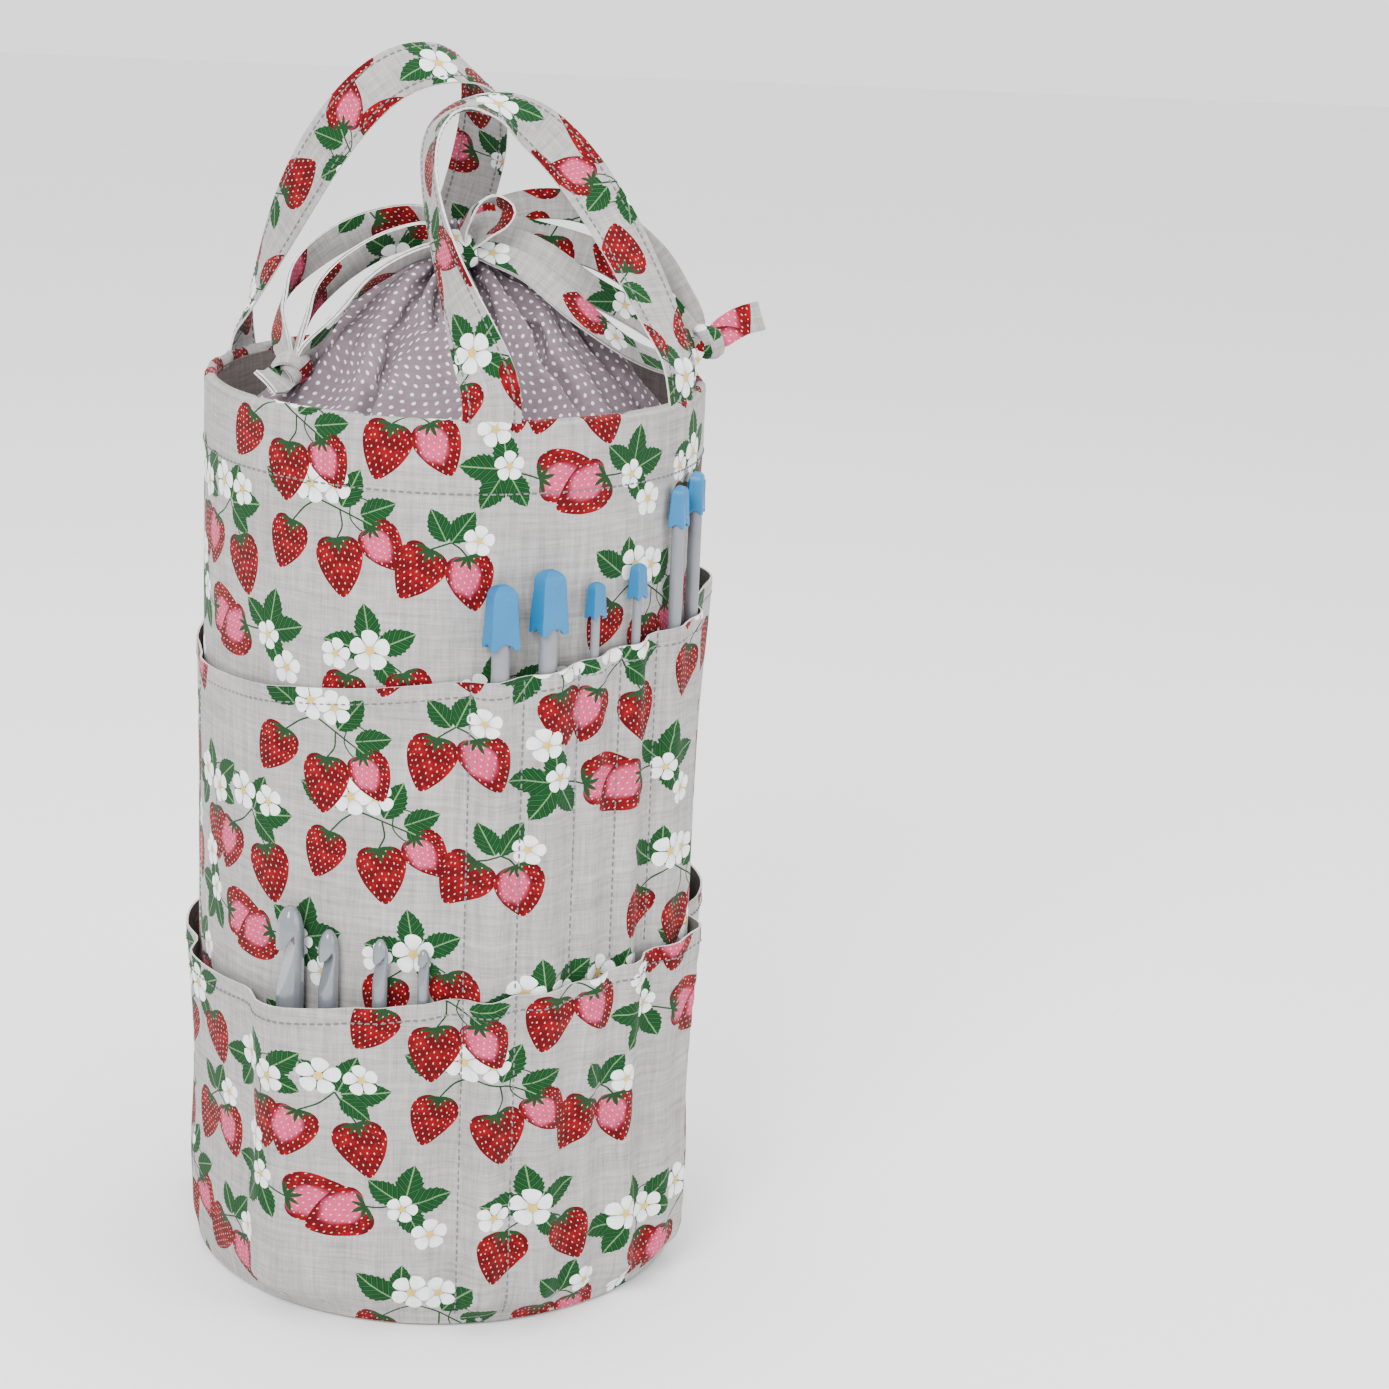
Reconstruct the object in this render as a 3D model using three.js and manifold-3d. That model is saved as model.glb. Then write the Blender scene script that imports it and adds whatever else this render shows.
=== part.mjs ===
// Knitting bag: an upright fabric tub with two tiers of outside pockets, two carrying
// handles and a gathered drawstring collar, with knitting needles and crochet hooks in
// its pockets. Millimetres, +Z up, origin at the centre of the base, front along -Y.
import * as THREE from "three";
import { mergeVertices } from "three/addons/utils/BufferGeometryUtils.js";
import Module from "manifold-3d";

const wasm = await Module();
wasm.setup();

// Driving dimensions
const BAG_RADIUS = 108;
const BAG_HEIGHT = 400;
const GAP = 0.3;
const ROUND_SEGMENTS = 48;

const SHELL_THICKNESS = 1.2;
const INTERLINING_THICKNESS = 1.8;
const LINING_THICKNESS = 1.4;
const FACING_DEPTH = 33;
const BASE_PANEL_THICKNESS = 1.4;
const BASE_BOARD_THICKNESS = 2;
const SEAM_RADIUS = 1.6;

const SHELL_INNER = BAG_RADIUS - SHELL_THICKNESS;
const INTERLINING_OUTER = SHELL_INNER - GAP;
const INTERLINING_INNER = INTERLINING_OUTER - INTERLINING_THICKNESS;
const LINING_OUTER = INTERLINING_INNER - GAP;
const LINING_INNER = LINING_OUTER - LINING_THICKNESS;
const FACING_BOTTOM = BAG_HEIGHT - FACING_DEPTH;

// The pocket rims are cut in a plane that climbs towards the right-hand side.
const POCKET_FABRIC = 1.2;
const PANEL_STEP = 6;
const BASE_TUCK = 9;
const HUMP_SHARES = [-1, -0.75, -0.5, -0.25, 0, 0.25, 0.5, 0.75, 1];
const UPPER_RIM = { middle: 293, climb: 16, towards: -5 };
const LOWER_RIM = { middle: 154.5, climb: 12, towards: -5 };
const UPPER_DIVIDERS = [-85.5, -74.8, -62.2, -50.5, -39, -16, 45, 135, 188, 274.5];
const LOWER_DIVIDERS = [-85.5, -74.8, -16, 45, 135, 188, 274.5];
const UPPER_BULGES = [0, 0, 0, 0, 0, 1.5, 6, 1.5, 0.6];
const LOWER_BULGES = [1.2, 0.6, 1.5, 6, 1.5, 0.6];

// Knitting needles: angle round the bag, shaft diameter, length, and the cap's size
const NEEDLES = [
  { angle: -79.6, shaft: 8, top: 334.5, cap: [13, 11, 27] },
  { angle: -69.6, shaft: 8, top: 340, cap: [13, 11, 27] },
  { angle: -57.9, shaft: 4, top: 332, cap: [7.6, 6.2, 15.5] },
  { angle: -46.4, shaft: 4, top: 337, cap: [7.6, 6.2, 15.5] },
  { angle: -33, shaft: 6, top: 366, cap: [8.8, 7.4, 18] },
  { angle: -24.5, shaft: 6, top: 369, cap: [8.8, 7.4, 18] },
];
const NEEDLE_FOOT = 9;
const NEEDLE_SIDES = 12;
const CAP_TURN = 12;
const CAP_TAPER = 0.78;
const CAP_BEVEL = 0.9;
const CAP_CURVE_SEGMENTS = 6;
const CAP_OVERREACH = 4;
const SOCKET_CLEARANCE = 0.3;
const SOCKET_SHARE = 0.42;
const SCALLOP_WIDTH_SHARE = 0.58;
const SCALLOP_HEIGHT_SHARE = 0.2;
const SCALLOP_SEGMENTS = 14;
// The needle's point: share of its length and of its radius at each ring, from the tip up
const POINT_LENGTH_SHARE = 1.6;
const POINT_RINGS = [[0, 0], [0.04, 0.22], [0.45, 0.6], [1, 1]];
const SHAFT_END_CHAMFER = 0.6;

// Crochet hooks: angle round the bag, diameter and height of the head's top
const HOOKS = [
  { angle: -123.4, diameter: 12, top: 189, lipShare: 1.75 },
  { angle: -114.6, diameter: 8.5, top: 181, lipShare: 1.8 },
  { angle: -103.2, diameter: 6.5, top: 179.5, lipShare: 1.8 },
  { angle: -94, diameter: 5, top: 176, lipShare: 1.7 },
];
const HOOK_FOOT = 9;
const HOOK_SIDES = 12;
const HOOK_TURN = -38;
const HOOK_NOSE_SHARE = 1.15;
const HOOK_NOSE_STEPS = 6;
const HOOK_HEAD_FLARE = 1.04;
const HOOK_NECK_SHARE = 4.6;
// The grip: share of the shaft's radius at each height above the foot
const HOOK_GRIP = [[0, 0.55], [4, 0.9], [40, 0.9], [52, 1]];
// The throat's outline: out from the axis in radii, and up from the lip in diameters
const THROAT_ROOF = [[-0.02, 0.82], [0.45, 0.22], [2, -0.3]];
const THROAT_FLOOR = [[1, -1.6], [0.2, -0.5], [-0.12, 0.35]];
const THROAT_MOUTH = [2, -2.2];

// Handles: straps sewn between the shell and the facing
const STRAP_WIDTH = 24;
const STRAP_THICKNESS = 1.6;
const STRAP_STEPS = 34;
const FOOT_RADIUS = (SHELL_INNER + LINING_OUTER) / 2;
const FOOT_SPREAD = 28;
const RISER_FOOT = BAG_HEIGHT + 1.8;
const HINGE_HEIGHT = BAG_HEIGHT + 12;
const ARCH_POWER = 2.6;
const HANDLES = [
  { name: "handle_front", centre: -54, lean: 38.8, reach: 131 },
  { name: "handle_back", centre: 126, lean: 32.4, reach: 140 },
];

// Drawstring tapes: flat folded strips between the centre knot and the end knots
const TAPE_WIDTH = 13;
const TAPE_THICKNESS = 2.4;
const TAPE_STEP = 10.5;
const KNOT_RADIUS = 5.6;
const KNOT_TUBE = 2.5;
const KNOT_STEPS = 32;
const CENTRE_KNOT = new THREE.Vector3(-1, -20, 456);
const LEFT_KNOT = new THREE.Vector3(-69, -42, 407);
const RIGHT_KNOT = new THREE.Vector3(107, 8, 415);
const TAPES = [
  { name: "tape_left_back", tilt: 70, route: [[-12, 5, 464], [-28, 6, 464], [-50, 4, 456],
    [-69, -4, 441], [-75, -17, 426], [-74, -30, 418]] },
  { name: "tape_left_middle", tilt: 60, route: [[-13, -10, 460], [-30, -11, 456], [-47, -14, 446],
    [-59, -21, 434], [-64, -30, 422]] },
  { name: "tape_left_front", tilt: 35, route: [[-12, -19, 455], [-25, -25, 450], [-40, -32, 440],
    [-53, -39, 425]] },
  { name: "tape_right_back", tilt: 75, route: [[10, 2, 466], [34, 12, 472], [60, 17, 468],
    [84, 17, 451], [98, 12, 431]] },
  { name: "tape_right_upper", tilt: 70, route: [[12, -5, 464], [36, -1, 459], [60, 1, 452],
    [80, 2, 440], [96, 4, 424]] },
  { name: "tape_right_middle", tilt: 60, route: [[13, -13, 461], [34, -15, 454], [56, -14, 440],
    [78, -9, 428], [94, -3, 418]] },
  { name: "tape_right_front", tilt: 40, route: [[13, -21, 455], [30, -27, 449], [52, -29, 432],
    [74, -23, 416], [93, -12, 409]] },
];
const TAILS = [
  { name: "tail_left", tilt: 20, route: [[-74, -53, 403.5], [-76, -58, 403.5], [-78, -63, 404.5]] },
  { name: "tail_right", tilt: 65, route: [[119, 12, 421], [125, 14, 424], [133, 16, 426]] },
];

// The gathered collar's surface from the rim seam up to the throat: radius, height
const COLLAR_SKIN = 1.2;
const COLLAR_SEGMENTS = 36;
const COLLAR_CROWN = [[101.5, 364], [100.5, 374], [93, 384], [80, 392], [64, 403], [47, 417],
  [31, 431], [19, 441], [9, 451]];
const FRILL_SEGMENTS = 24;
const FRILL = [[9.4, 452.6], [10.8, 452.6], [13.4, 457], [12.2, 457.8], [10.4, 455.2], [9.4, 452.6]];

const LINEN = { color: 0xcfcbcc, roughness: 0.85 };
const DOTTED = { color: 0xb9abb5, roughness: 0.85 };
const CAP_BLUE = { color: 0x20a8dc, roughness: 0.45 };
const NEEDLE_GREY = { color: 0xa2acb8, roughness: 0.4 };
const HOOK_GREY = { color: 0x98a2ac, roughness: 0.3 };
const BOARD = { color: 0x8a8a88, roughness: 0.9 };

const radians = THREE.MathUtils.degToRad;
const group = new THREE.Group();
group.name = "knitting_bag";

function addNode(name, geometry, look) {
  const material = new THREE.MeshStandardMaterial({ metalness: 0, ...look });
  const mesh = new THREE.Mesh(geometry, material);
  mesh.name = name;
  group.add(mesh);
  return mesh;
}

// Solid of a closed geometry, for cutting and joining
function solidOf(geometry) {
  const bare = geometry.clone();
  bare.deleteAttribute("normal");
  bare.deleteAttribute("uv");
  const merged = mergeVertices(bare, 1e-4);
  return new wasm.Manifold(
    new wasm.Mesh({
      numProp: 3,
      vertProperties: merged.getAttribute("position").array,
      triVerts: new Uint32Array(merged.index.array),
    }),
  );
}

function geometryOf(solid) {
  const mesh = solid.getMesh();
  const geometry = new THREE.BufferGeometry();
  geometry.setAttribute("position", new THREE.BufferAttribute(mesh.vertProperties, 3));
  geometry.setIndex(new THREE.BufferAttribute(mesh.triVerts, 1));
  geometry.computeVertexNormals();
  return geometry;
}

// A profile of [radius, height] pairs turned about the Z axis
function turned(profile, segments = ROUND_SEGMENTS) {
  const points = profile.map(([r, z]) => new THREE.Vector2(r, z));
  return new THREE.LatheGeometry(points, segments).rotateX(Math.PI / 2);
}

function tube(inner, outer, bottom, top) {
  return turned([
    [inner, bottom],
    [outer, bottom],
    [outer, top],
    [inner, top],
    [inner, bottom],
  ]);
}

function disc(radius, bottom, top) {
  return turned([
    [0, bottom],
    [radius, bottom],
    [radius, top],
    [0, top],
  ]);
}

// A section swept up a straight line, then bent so that a point at height s of the line
// goes to origin + x * out + y * across of the frame there.
function bent(section, length, steps, frameAt) {
  const geometry = new THREE.ExtrudeGeometry(section, {
    depth: length,
    steps,
    bevelEnabled: false,
    curveSegments: 2,
  });
  const position = geometry.getAttribute("position");
  const point = new THREE.Vector3();
  for (let i = 0; i < position.count; i++) {
    point.fromBufferAttribute(position, i);
    const frame = frameAt(THREE.MathUtils.clamp(point.z / length, 0, 1));
    const moved = frame.origin.clone();
    moved.addScaledVector(frame.out, point.x);
    moved.addScaledVector(frame.across, point.y);
    position.setXYZ(i, moved.x, moved.y, moved.z);
  }
  geometry.computeVertexNormals();
  return geometry;
}

function bandSection(thickness, width, corner) {
  const x = thickness / 2;
  const y = width / 2;
  const shape = new THREE.Shape();
  shape.moveTo(x, -y + corner);
  shape.lineTo(x, y - corner);
  shape.lineTo(x - corner, y);
  shape.lineTo(-x + corner, y);
  shape.lineTo(-x, y - corner);
  shape.lineTo(-x, -y + corner);
  shape.lineTo(-x + corner, -y);
  shape.lineTo(x - corner, -y);
  return shape;
}

function buildWall() {
  const seam = SEAM_RADIUS;
  const shell = turned([
    [SHELL_INNER, 0],
    [BAG_RADIUS - seam / 2, 0],
    [BAG_RADIUS, seam],
    [BAG_RADIUS, BAG_HEIGHT - 0.4],
    [BAG_RADIUS - 0.4, BAG_HEIGHT],
    [SHELL_INNER, BAG_HEIGHT],
    [SHELL_INNER, 0],
  ]);
  const boardTop = BASE_PANEL_THICKNESS + GAP + BASE_BOARD_THICKNESS;
  addNode("outer_shell", shell, LINEN);
  addNode("rim_facing", tube(LINING_INNER, LINING_OUTER, FACING_BOTTOM, BAG_HEIGHT), LINEN);
  addNode(
    "wall_interlining",
    tube(INTERLINING_INNER, INTERLINING_OUTER, boardTop + GAP, FACING_BOTTOM - GAP),
    BOARD,
  );
  addNode("lining_wall", tube(LINING_INNER, LINING_OUTER, boardTop + GAP, FACING_BOTTOM - GAP), LINEN);
}

function buildBase() {
  const boardBottom = BASE_PANEL_THICKNESS + GAP;
  const boardTop = boardBottom + BASE_BOARD_THICKNESS;
  addNode("base_panel", disc(INTERLINING_OUTER, 0, BASE_PANEL_THICKNESS), LINEN);
  addNode("base_board", disc(INTERLINING_OUTER, boardBottom, boardTop), BOARD);
  const liningBottom = boardTop + GAP;
  const lining = disc(LINING_INNER - GAP, liningBottom, liningBottom + LINING_THICKNESS);
  addNode("lining_base", lining, LINEN);
}

// Height of a hump at an angle: 1 at its top, 0 at its feet
function hump(angle, middle, halfWidth) {
  const share = Math.abs(angle - middle) / halfWidth;
  return share >= 1 ? 0 : Math.cos((Math.PI / 2) * share) ** 0.6;
}

// How far a pocket panel stands off what it lies on, at an angle in degrees
function standOff(angle, dividers, bulges, tools, floorAt) {
  let height = GAP;
  for (let i = 0; i + 1 < dividers.length; i++) {
    const middle = (dividers[i] + dividers[i + 1]) / 2;
    const half = (dividers[i + 1] - dividers[i]) / 2;
    for (const turn of [0, -360]) {
      height += bulges[i] * hump(angle, middle + turn, half) ** 2;
    }
  }
  for (const tool of tools) {
    const left = Math.max(...dividers.filter((d) => d < tool.angle), dividers.at(-2) - 360);
    const right = Math.min(...dividers.filter((d) => d > tool.angle));
    const side = angle < tool.angle ? tool.angle - left : right - tool.angle;
    const rise = tool.axis + tool.radius + 0.6 - floorAt(angle) - GAP;
    height = Math.max(height, GAP + rise * hump(angle, tool.angle, Math.min(side, humpWidth(tool))));
  }
  return height;
}

function humpWidth(tool) {
  return THREE.MathUtils.radToDeg((3 * tool.radius + 2) / BAG_RADIUS);
}

// Angles at which the panels have corners: all round, and closer at each tool
function panelAngles() {
  const angles = [];
  for (let angle = -178; angle <= 180; angle += PANEL_STEP) {
    angles.push(angle);
  }
  for (const tool of [...needleTools(), ...hookTools()]) {
    angles.push(...HUMP_SHARES.map((share) => tool.angle + share * humpWidth(tool)));
  }
  angles.sort((a, b) => a - b);
  return angles.filter((angle, i) => i === 0 || angle - angles[i - 1] > 0.4);
}

function ringShape(innerAt, thickness) {
  const outline = [];
  const hole = [];
  for (const angle of panelAngles()) {
    const direction = new THREE.Vector2(1, 0).rotateAround(new THREE.Vector2(), radians(angle));
    hole.push(direction.clone().multiplyScalar(innerAt(angle)));
    outline.push(direction.clone().multiplyScalar(innerAt(angle) + thickness));
  }
  const shape = new THREE.Shape(outline);
  shape.holes.push(new THREE.Path(hole));
  return shape;
}

// A slab whose underside is the sloping plane of a pocket rim
function rimCutter({ middle, climb, towards }) {
  const size = 4 * BAG_RADIUS;
  const slab = new THREE.BoxGeometry(size, size, BAG_HEIGHT);
  slab.translate(0, 0, BAG_HEIGHT / 2);
  slab.rotateY(-Math.atan2(climb, BAG_RADIUS));
  slab.rotateZ(radians(-towards));
  slab.translate(0, 0, middle);
  return solidOf(slab);
}

// A panel stands up from the tuck above the base seam, and below it draws in to the seam
function pocketPanel(innerAt, thickness, seamInner, rim) {
  const depth = rim.middle + 2 * rim.climb;
  const geometry = new THREE.ExtrudeGeometry(ringShape(innerAt, thickness), {
    depth,
    steps: 2,
    bevelEnabled: false,
  });
  const position = geometry.getAttribute("position");
  for (let i = 0; i < position.count; i++) {
    const flat = new THREE.Vector2(position.getX(i), position.getY(i));
    const height = position.getZ(i);
    if (height < 0.1) {
      const inner = innerAt(THREE.MathUtils.radToDeg(flat.angle()) - (flat.y < 0 ? 360 : 0));
      flat.setLength(seamInner + flat.length() - inner);
    }
    const isTuck = height > 0.1 && height < depth - 0.1;
    position.setXYZ(i, flat.x, flat.y, isTuck ? BASE_TUCK : height);
  }
  return solidOf(geometry).subtract(rimCutter(rim));
}

// A needle stands off the wall so that the turned cap on top of it clears the fabric
function needleAxis({ cap: [width, depth] }) {
  const turn = radians(CAP_TURN);
  return BAG_RADIUS + 2 * GAP + (width * Math.sin(turn) + depth * Math.cos(turn)) / 2;
}

function needleTools() {
  return NEEDLES.map((n) => ({ angle: n.angle, radius: n.shaft / 2, axis: needleAxis(n) }));
}

function upperInner(angle) {
  const floor = () => BAG_RADIUS;
  return BAG_RADIUS + standOff(angle, UPPER_DIVIDERS, UPPER_BULGES, needleTools(), floor);
}

function hookAxis(hook) {
  return upperInner(hook.angle) + POCKET_FABRIC + 0.5 + hook.diameter / 2;
}

function hookTools() {
  return HOOKS.map((h) => ({ angle: h.angle, radius: h.diameter / 2, axis: hookAxis(h) }));
}

function lowerInner(angle) {
  const floor = (a) => upperInner(a) + POCKET_FABRIC;
  return floor(angle) + standOff(angle, LOWER_DIVIDERS, LOWER_BULGES, hookTools(), floor);
}

function buildPockets() {
  const upperSeam = BAG_RADIUS + GAP;
  const lowerSeam = upperSeam + POCKET_FABRIC + GAP;
  const upper = pocketPanel(upperInner, POCKET_FABRIC, upperSeam, UPPER_RIM);
  const upperWithGap = pocketPanel(upperInner, POCKET_FABRIC + GAP, upperSeam, UPPER_RIM);
  const lower = pocketPanel(lowerInner, POCKET_FABRIC, lowerSeam, LOWER_RIM);
  addNode("upper_pocket_panel", geometryOf(upper), LINEN);
  addNode("lower_pocket_panel", geometryOf(lower.subtract(upperWithGap)), LINEN);
}

// The gathered collar: a sheet that is sewn in below the facing and drawn to a throat
function buildCollar() {
  const shift = COLLAR_SKIN * Math.SQRT1_2;
  const raised = COLLAR_CROWN.map(([r, z]) => [r + shift, z + shift]);
  const profile = [...raised, ...COLLAR_CROWN.toReversed(), raised[0]];
  addNode("gathered_collar", turned(profile, COLLAR_SEGMENTS), DOTTED);
  addNode("collar_frill", turned(FRILL, FRILL_SEGMENTS), DOTTED);
}

// Where a strap runs: an upright riser at each foot, then a leaning arch between them
function strapCurve({ centre, lean, reach }) {
  const outward = new THREE.Vector3(Math.cos(radians(centre)), Math.sin(radians(centre)), 0);
  const along = new THREE.Vector3(-outward.y, outward.x, 0);
  const leaning = new THREE.Vector3(0, 0, Math.cos(radians(lean)));
  leaning.addScaledVector(outward, -Math.sin(radians(lean)));
  const half = FOOT_RADIUS * Math.sin(radians(FOOT_SPREAD));
  const middle = outward.clone().multiplyScalar(FOOT_RADIUS * Math.cos(radians(FOOT_SPREAD)));
  const foot = (side, height) => {
    const point = middle.clone().addScaledVector(along, side * half);
    return point.setZ(height);
  };
  const points = [foot(-1, RISER_FOOT), foot(-1, (RISER_FOOT + HINGE_HEIGHT) / 2)];
  const steps = 14;
  for (let i = 0; i <= steps; i++) {
    const t = Math.PI * (1 - i / steps);
    const u = Math.sign(Math.cos(t)) * Math.abs(Math.cos(t)) ** (2 / ARCH_POWER);
    const v = Math.abs(Math.sin(t)) ** (2 / ARCH_POWER);
    const point = middle.clone().setZ(HINGE_HEIGHT);
    points.push(point.addScaledVector(along, half * u).addScaledVector(leaning, reach * v));
  }
  points.push(foot(1, (RISER_FOOT + HINGE_HEIGHT) / 2), foot(1, RISER_FOOT));
  return new THREE.CatmullRomCurve3(points, false, "centripetal");
}

function tangentAt(angle) {
  return new THREE.Vector3(-Math.sin(radians(angle)), Math.cos(radians(angle)), 0);
}

function buildHandle(handle) {
  const curve = strapCurve(handle);
  const { centre, lean } = handle;
  const outward = new THREE.Vector3(Math.cos(radians(centre)), Math.sin(radians(centre)), 0);
  const crown = outward.clone().multiplyScalar(Math.cos(radians(lean)));
  crown.z = Math.sin(radians(lean));
  const firstFoot = tangentAt(centre - FOOT_SPREAD);
  const lastFoot = tangentAt(centre + FOOT_SPREAD).negate();
  const frameAt = (s) => {
    const origin = curve.getPointAt(s);
    const along = curve.getTangentAt(s);
    const share = THREE.MathUtils.smoothstep(Math.abs(1 - 2 * s), 0.08, 0.94);
    const across = crown.clone().lerp(s < 0.5 ? firstFoot : lastFoot, share);
    across.addScaledVector(along, -across.dot(along)).normalize();
    const out = across.clone().cross(along);
    return { origin, across, out };
  };
  const section = bandSection(STRAP_THICKNESS, STRAP_WIDTH, 0.4);
  addNode(handle.name, bent(section, curve.getLength(), STRAP_STEPS, frameAt), LINEN);
}

// The part of each strap that is sewn between the shell and the facing
function buildTabs({ name, centre }) {
  [-1, 1].forEach((side, i) => {
    const angle = centre + side * FOOT_SPREAD;
    const halfAngle = THREE.MathUtils.radToDeg(STRAP_WIDTH / 2 / FOOT_RADIUS);
    const shape = new THREE.Shape();
    const from = radians(angle - halfAngle);
    const to = radians(angle + halfAngle);
    shape.absarc(0, 0, INTERLINING_OUTER, from, to, false);
    shape.absarc(0, 0, INTERLINING_INNER, to, from, true);
    const tab = new THREE.ExtrudeGeometry(shape, {
      depth: FACING_DEPTH - GAP,
      bevelEnabled: false,
      curveSegments: 6,
    });
    tab.translate(0, 0, FACING_BOTTOM);
    addNode(`${name}_tab_${i + 1}`, tab, LINEN);
  });
}

function buildTape({ name, tilt, route }) {
  const curve = new THREE.CatmullRomCurve3(route.map((p) => new THREE.Vector3(...p)));
  const steps = Math.max(4, Math.round(curve.getLength() / TAPE_STEP));
  const frameAt = (s) => {
    const origin = curve.getPointAt(s);
    const along = curve.getTangentAt(s);
    const side = new THREE.Vector3(-along.y, along.x, 0).normalize();
    const across = side.applyAxisAngle(along, radians(tilt));
    const out = across.clone().cross(along);
    return { origin, across, out };
  };
  const section = bandSection(TAPE_THICKNESS, TAPE_WIDTH, 0.9);
  addNode(name, bent(section, curve.getLength(), steps, frameAt), LINEN);
}

function buildKnot(name, centre, size, turnX, turnZ) {
  const knot = new THREE.TorusKnotGeometry(KNOT_RADIUS * size, KNOT_TUBE * size, KNOT_STEPS, 6, 2, 3);
  knot.rotateX(turnX);
  knot.rotateZ(turnZ);
  knot.translate(centre.x, centre.y, centre.z);
  addNode(name, knot, LINEN);
}

function buildDrawstrings() {
  TAPES.forEach(buildTape);
  TAILS.forEach(buildTape);
  buildKnot("centre_knot", CENTRE_KNOT, 0.95, Math.PI / 2, 0.2);
  buildKnot("knot_left", LEFT_KNOT, 1, 0.5, 0.4);
  buildKnot("knot_right", RIGHT_KNOT, 1, 0.3, -0.2);
}

// A tombstone outline: straight sides that draw in to a round top
function tombstone(width, height, depth, bevel) {
  const half = width / 2 - bevel;
  const topHalf = half * CAP_TAPER;
  const shoulder = height - bevel - topHalf;
  const shape = new THREE.Shape();
  shape.moveTo(-half, bevel);
  shape.lineTo(half, bevel);
  shape.lineTo(topHalf, shoulder);
  shape.absarc(0, shoulder, topHalf, 0, Math.PI, false);
  const plate = new THREE.ExtrudeGeometry(shape, {
    depth: depth - 2 * bevel,
    bevelThickness: bevel,
    bevelSize: bevel,
    bevelSegments: 1,
    bevelEnabled: bevel > 0,
    curveSegments: CAP_CURVE_SEGMENTS,
  });
  return plate.translate(0, 0, bevel - depth / 2).rotateX(Math.PI / 2);
}

// A rod lying across the cap's lower edge, which leaves the edge scalloped
function scallop(width, length) {
  const radius = (width * SCALLOP_WIDTH_SHARE) / 2;
  const rod = new THREE.CylinderGeometry(radius, radius, length, SCALLOP_SEGMENTS);
  rod.scale(1, 1, (width * SCALLOP_HEIGHT_SHARE) / radius);
  return rod;
}

// The blind hole that takes the needle, open at the cap's lower edge
function socket(height, shaft) {
  const radius = shaft / 2 + SOCKET_CLEARANCE;
  const depth = height * SOCKET_SHARE;
  const bore = new THREE.CylinderGeometry(radius, radius, 2 * depth, NEEDLE_SIDES);
  return bore.rotateX(Math.PI / 2);
}

// A four-sided point guard: two tombstone plates crossed, scalloped below and bored
function capGeometry([width, depth, height], shaft) {
  const quarter = Math.PI / 2;
  const front = solidOf(tombstone(width, height, depth + CAP_OVERREACH, CAP_BEVEL));
  const side = solidOf(tombstone(depth, height, width + CAP_OVERREACH, 0).rotateZ(quarter));
  const across = solidOf(scallop(width, 2 * width));
  const through = solidOf(scallop(depth, 2 * width).rotateZ(quarter));
  const body = front.intersect(side).subtract(across).subtract(through);
  return geometryOf(body.subtract(solidOf(socket(height, shaft))));
}

function shaftProfile({ shaft, top, cap }) {
  const radius = shaft / 2;
  const seat = top - cap[2] * (1 - SOCKET_SHARE) - SHAFT_END_CHAMFER;
  const point = POINT_RINGS.map(([up, out]) => [
    radius * out,
    NEEDLE_FOOT + POINT_LENGTH_SHARE * shaft * up,
  ]);
  return [...point, [radius, seat - SHAFT_END_CHAMFER], [radius - SHAFT_END_CHAMFER, seat], [0, seat]];
}

function buildNeedle(needle, index) {
  const place = new THREE.Vector3(needleAxis(needle), 0, 0);
  place.applyAxisAngle(new THREE.Vector3(0, 0, 1), radians(needle.angle));
  const shaft = turned(shaftProfile(needle), NEEDLE_SIDES);
  addNode(`needle_shaft_${index + 1}`, shaft, NEEDLE_GREY).position.copy(place);
  const cap = addNode(`needle_cap_${index + 1}`, capGeometry(needle.cap, needle.shaft), CAP_BLUE);
  cap.position.set(place.x, place.y, needle.top - needle.cap[2]);
  cap.rotation.z = radians(needle.angle + 90 + CAP_TURN);
}

// The rod of a crochet hook, from its foot up to its bullet nose
function hookRod({ diameter, top }) {
  const radius = diameter / 2;
  const nose = [];
  for (let i = HOOK_NOSE_STEPS; i >= 0; i--) {
    const t = (Math.PI / 2) * (i / HOOK_NOSE_STEPS);
    const drop = HOOK_NOSE_SHARE * diameter * (1 - Math.cos(t));
    nose.push([radius * HOOK_HEAD_FLARE * Math.sin(t), top - drop]);
  }
  const grip = HOOK_GRIP.map(([up, share]) => [radius * share, HOOK_FOOT + up]);
  const neck = [radius, top - HOOK_NECK_SHARE * diameter];
  return turned([[0, HOOK_FOOT], ...grip, neck, ...nose], HOOK_SIDES);
}

// A wedge with curved roof and floor, that cuts the throat in from one side
function throatCutter({ diameter, top, lipShare }) {
  const lip = top - lipShare * diameter;
  const at = ([out, up]) => [(out * diameter) / 2, lip + up * diameter];
  const roof = THROAT_ROOF.map(at);
  const floor = THROAT_FLOOR.map(at);
  const throat = new THREE.Shape();
  throat.moveTo(...roof[0]);
  throat.quadraticCurveTo(...roof[1], ...roof[2]);
  throat.lineTo(...at(THROAT_MOUTH));
  throat.lineTo(...floor[0]);
  throat.quadraticCurveTo(...floor[1], ...floor[2]);
  const cutter = new THREE.ExtrudeGeometry(throat, {
    depth: 2 * diameter,
    bevelEnabled: false,
    curveSegments: CAP_CURVE_SEGMENTS,
  });
  return cutter.translate(0, 0, -diameter).rotateX(Math.PI / 2);
}

function buildHook(hook, index) {
  const body = solidOf(hookRod(hook)).subtract(solidOf(throatCutter(hook)));
  const mesh = addNode(`crochet_hook_${index + 1}`, geometryOf(body), HOOK_GREY);
  const angle = radians(hook.angle);
  mesh.position.set(hookAxis(hook) * Math.cos(angle), hookAxis(hook) * Math.sin(angle), 0);
  mesh.rotation.z = radians(hook.angle + HOOK_TURN);
}

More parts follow.
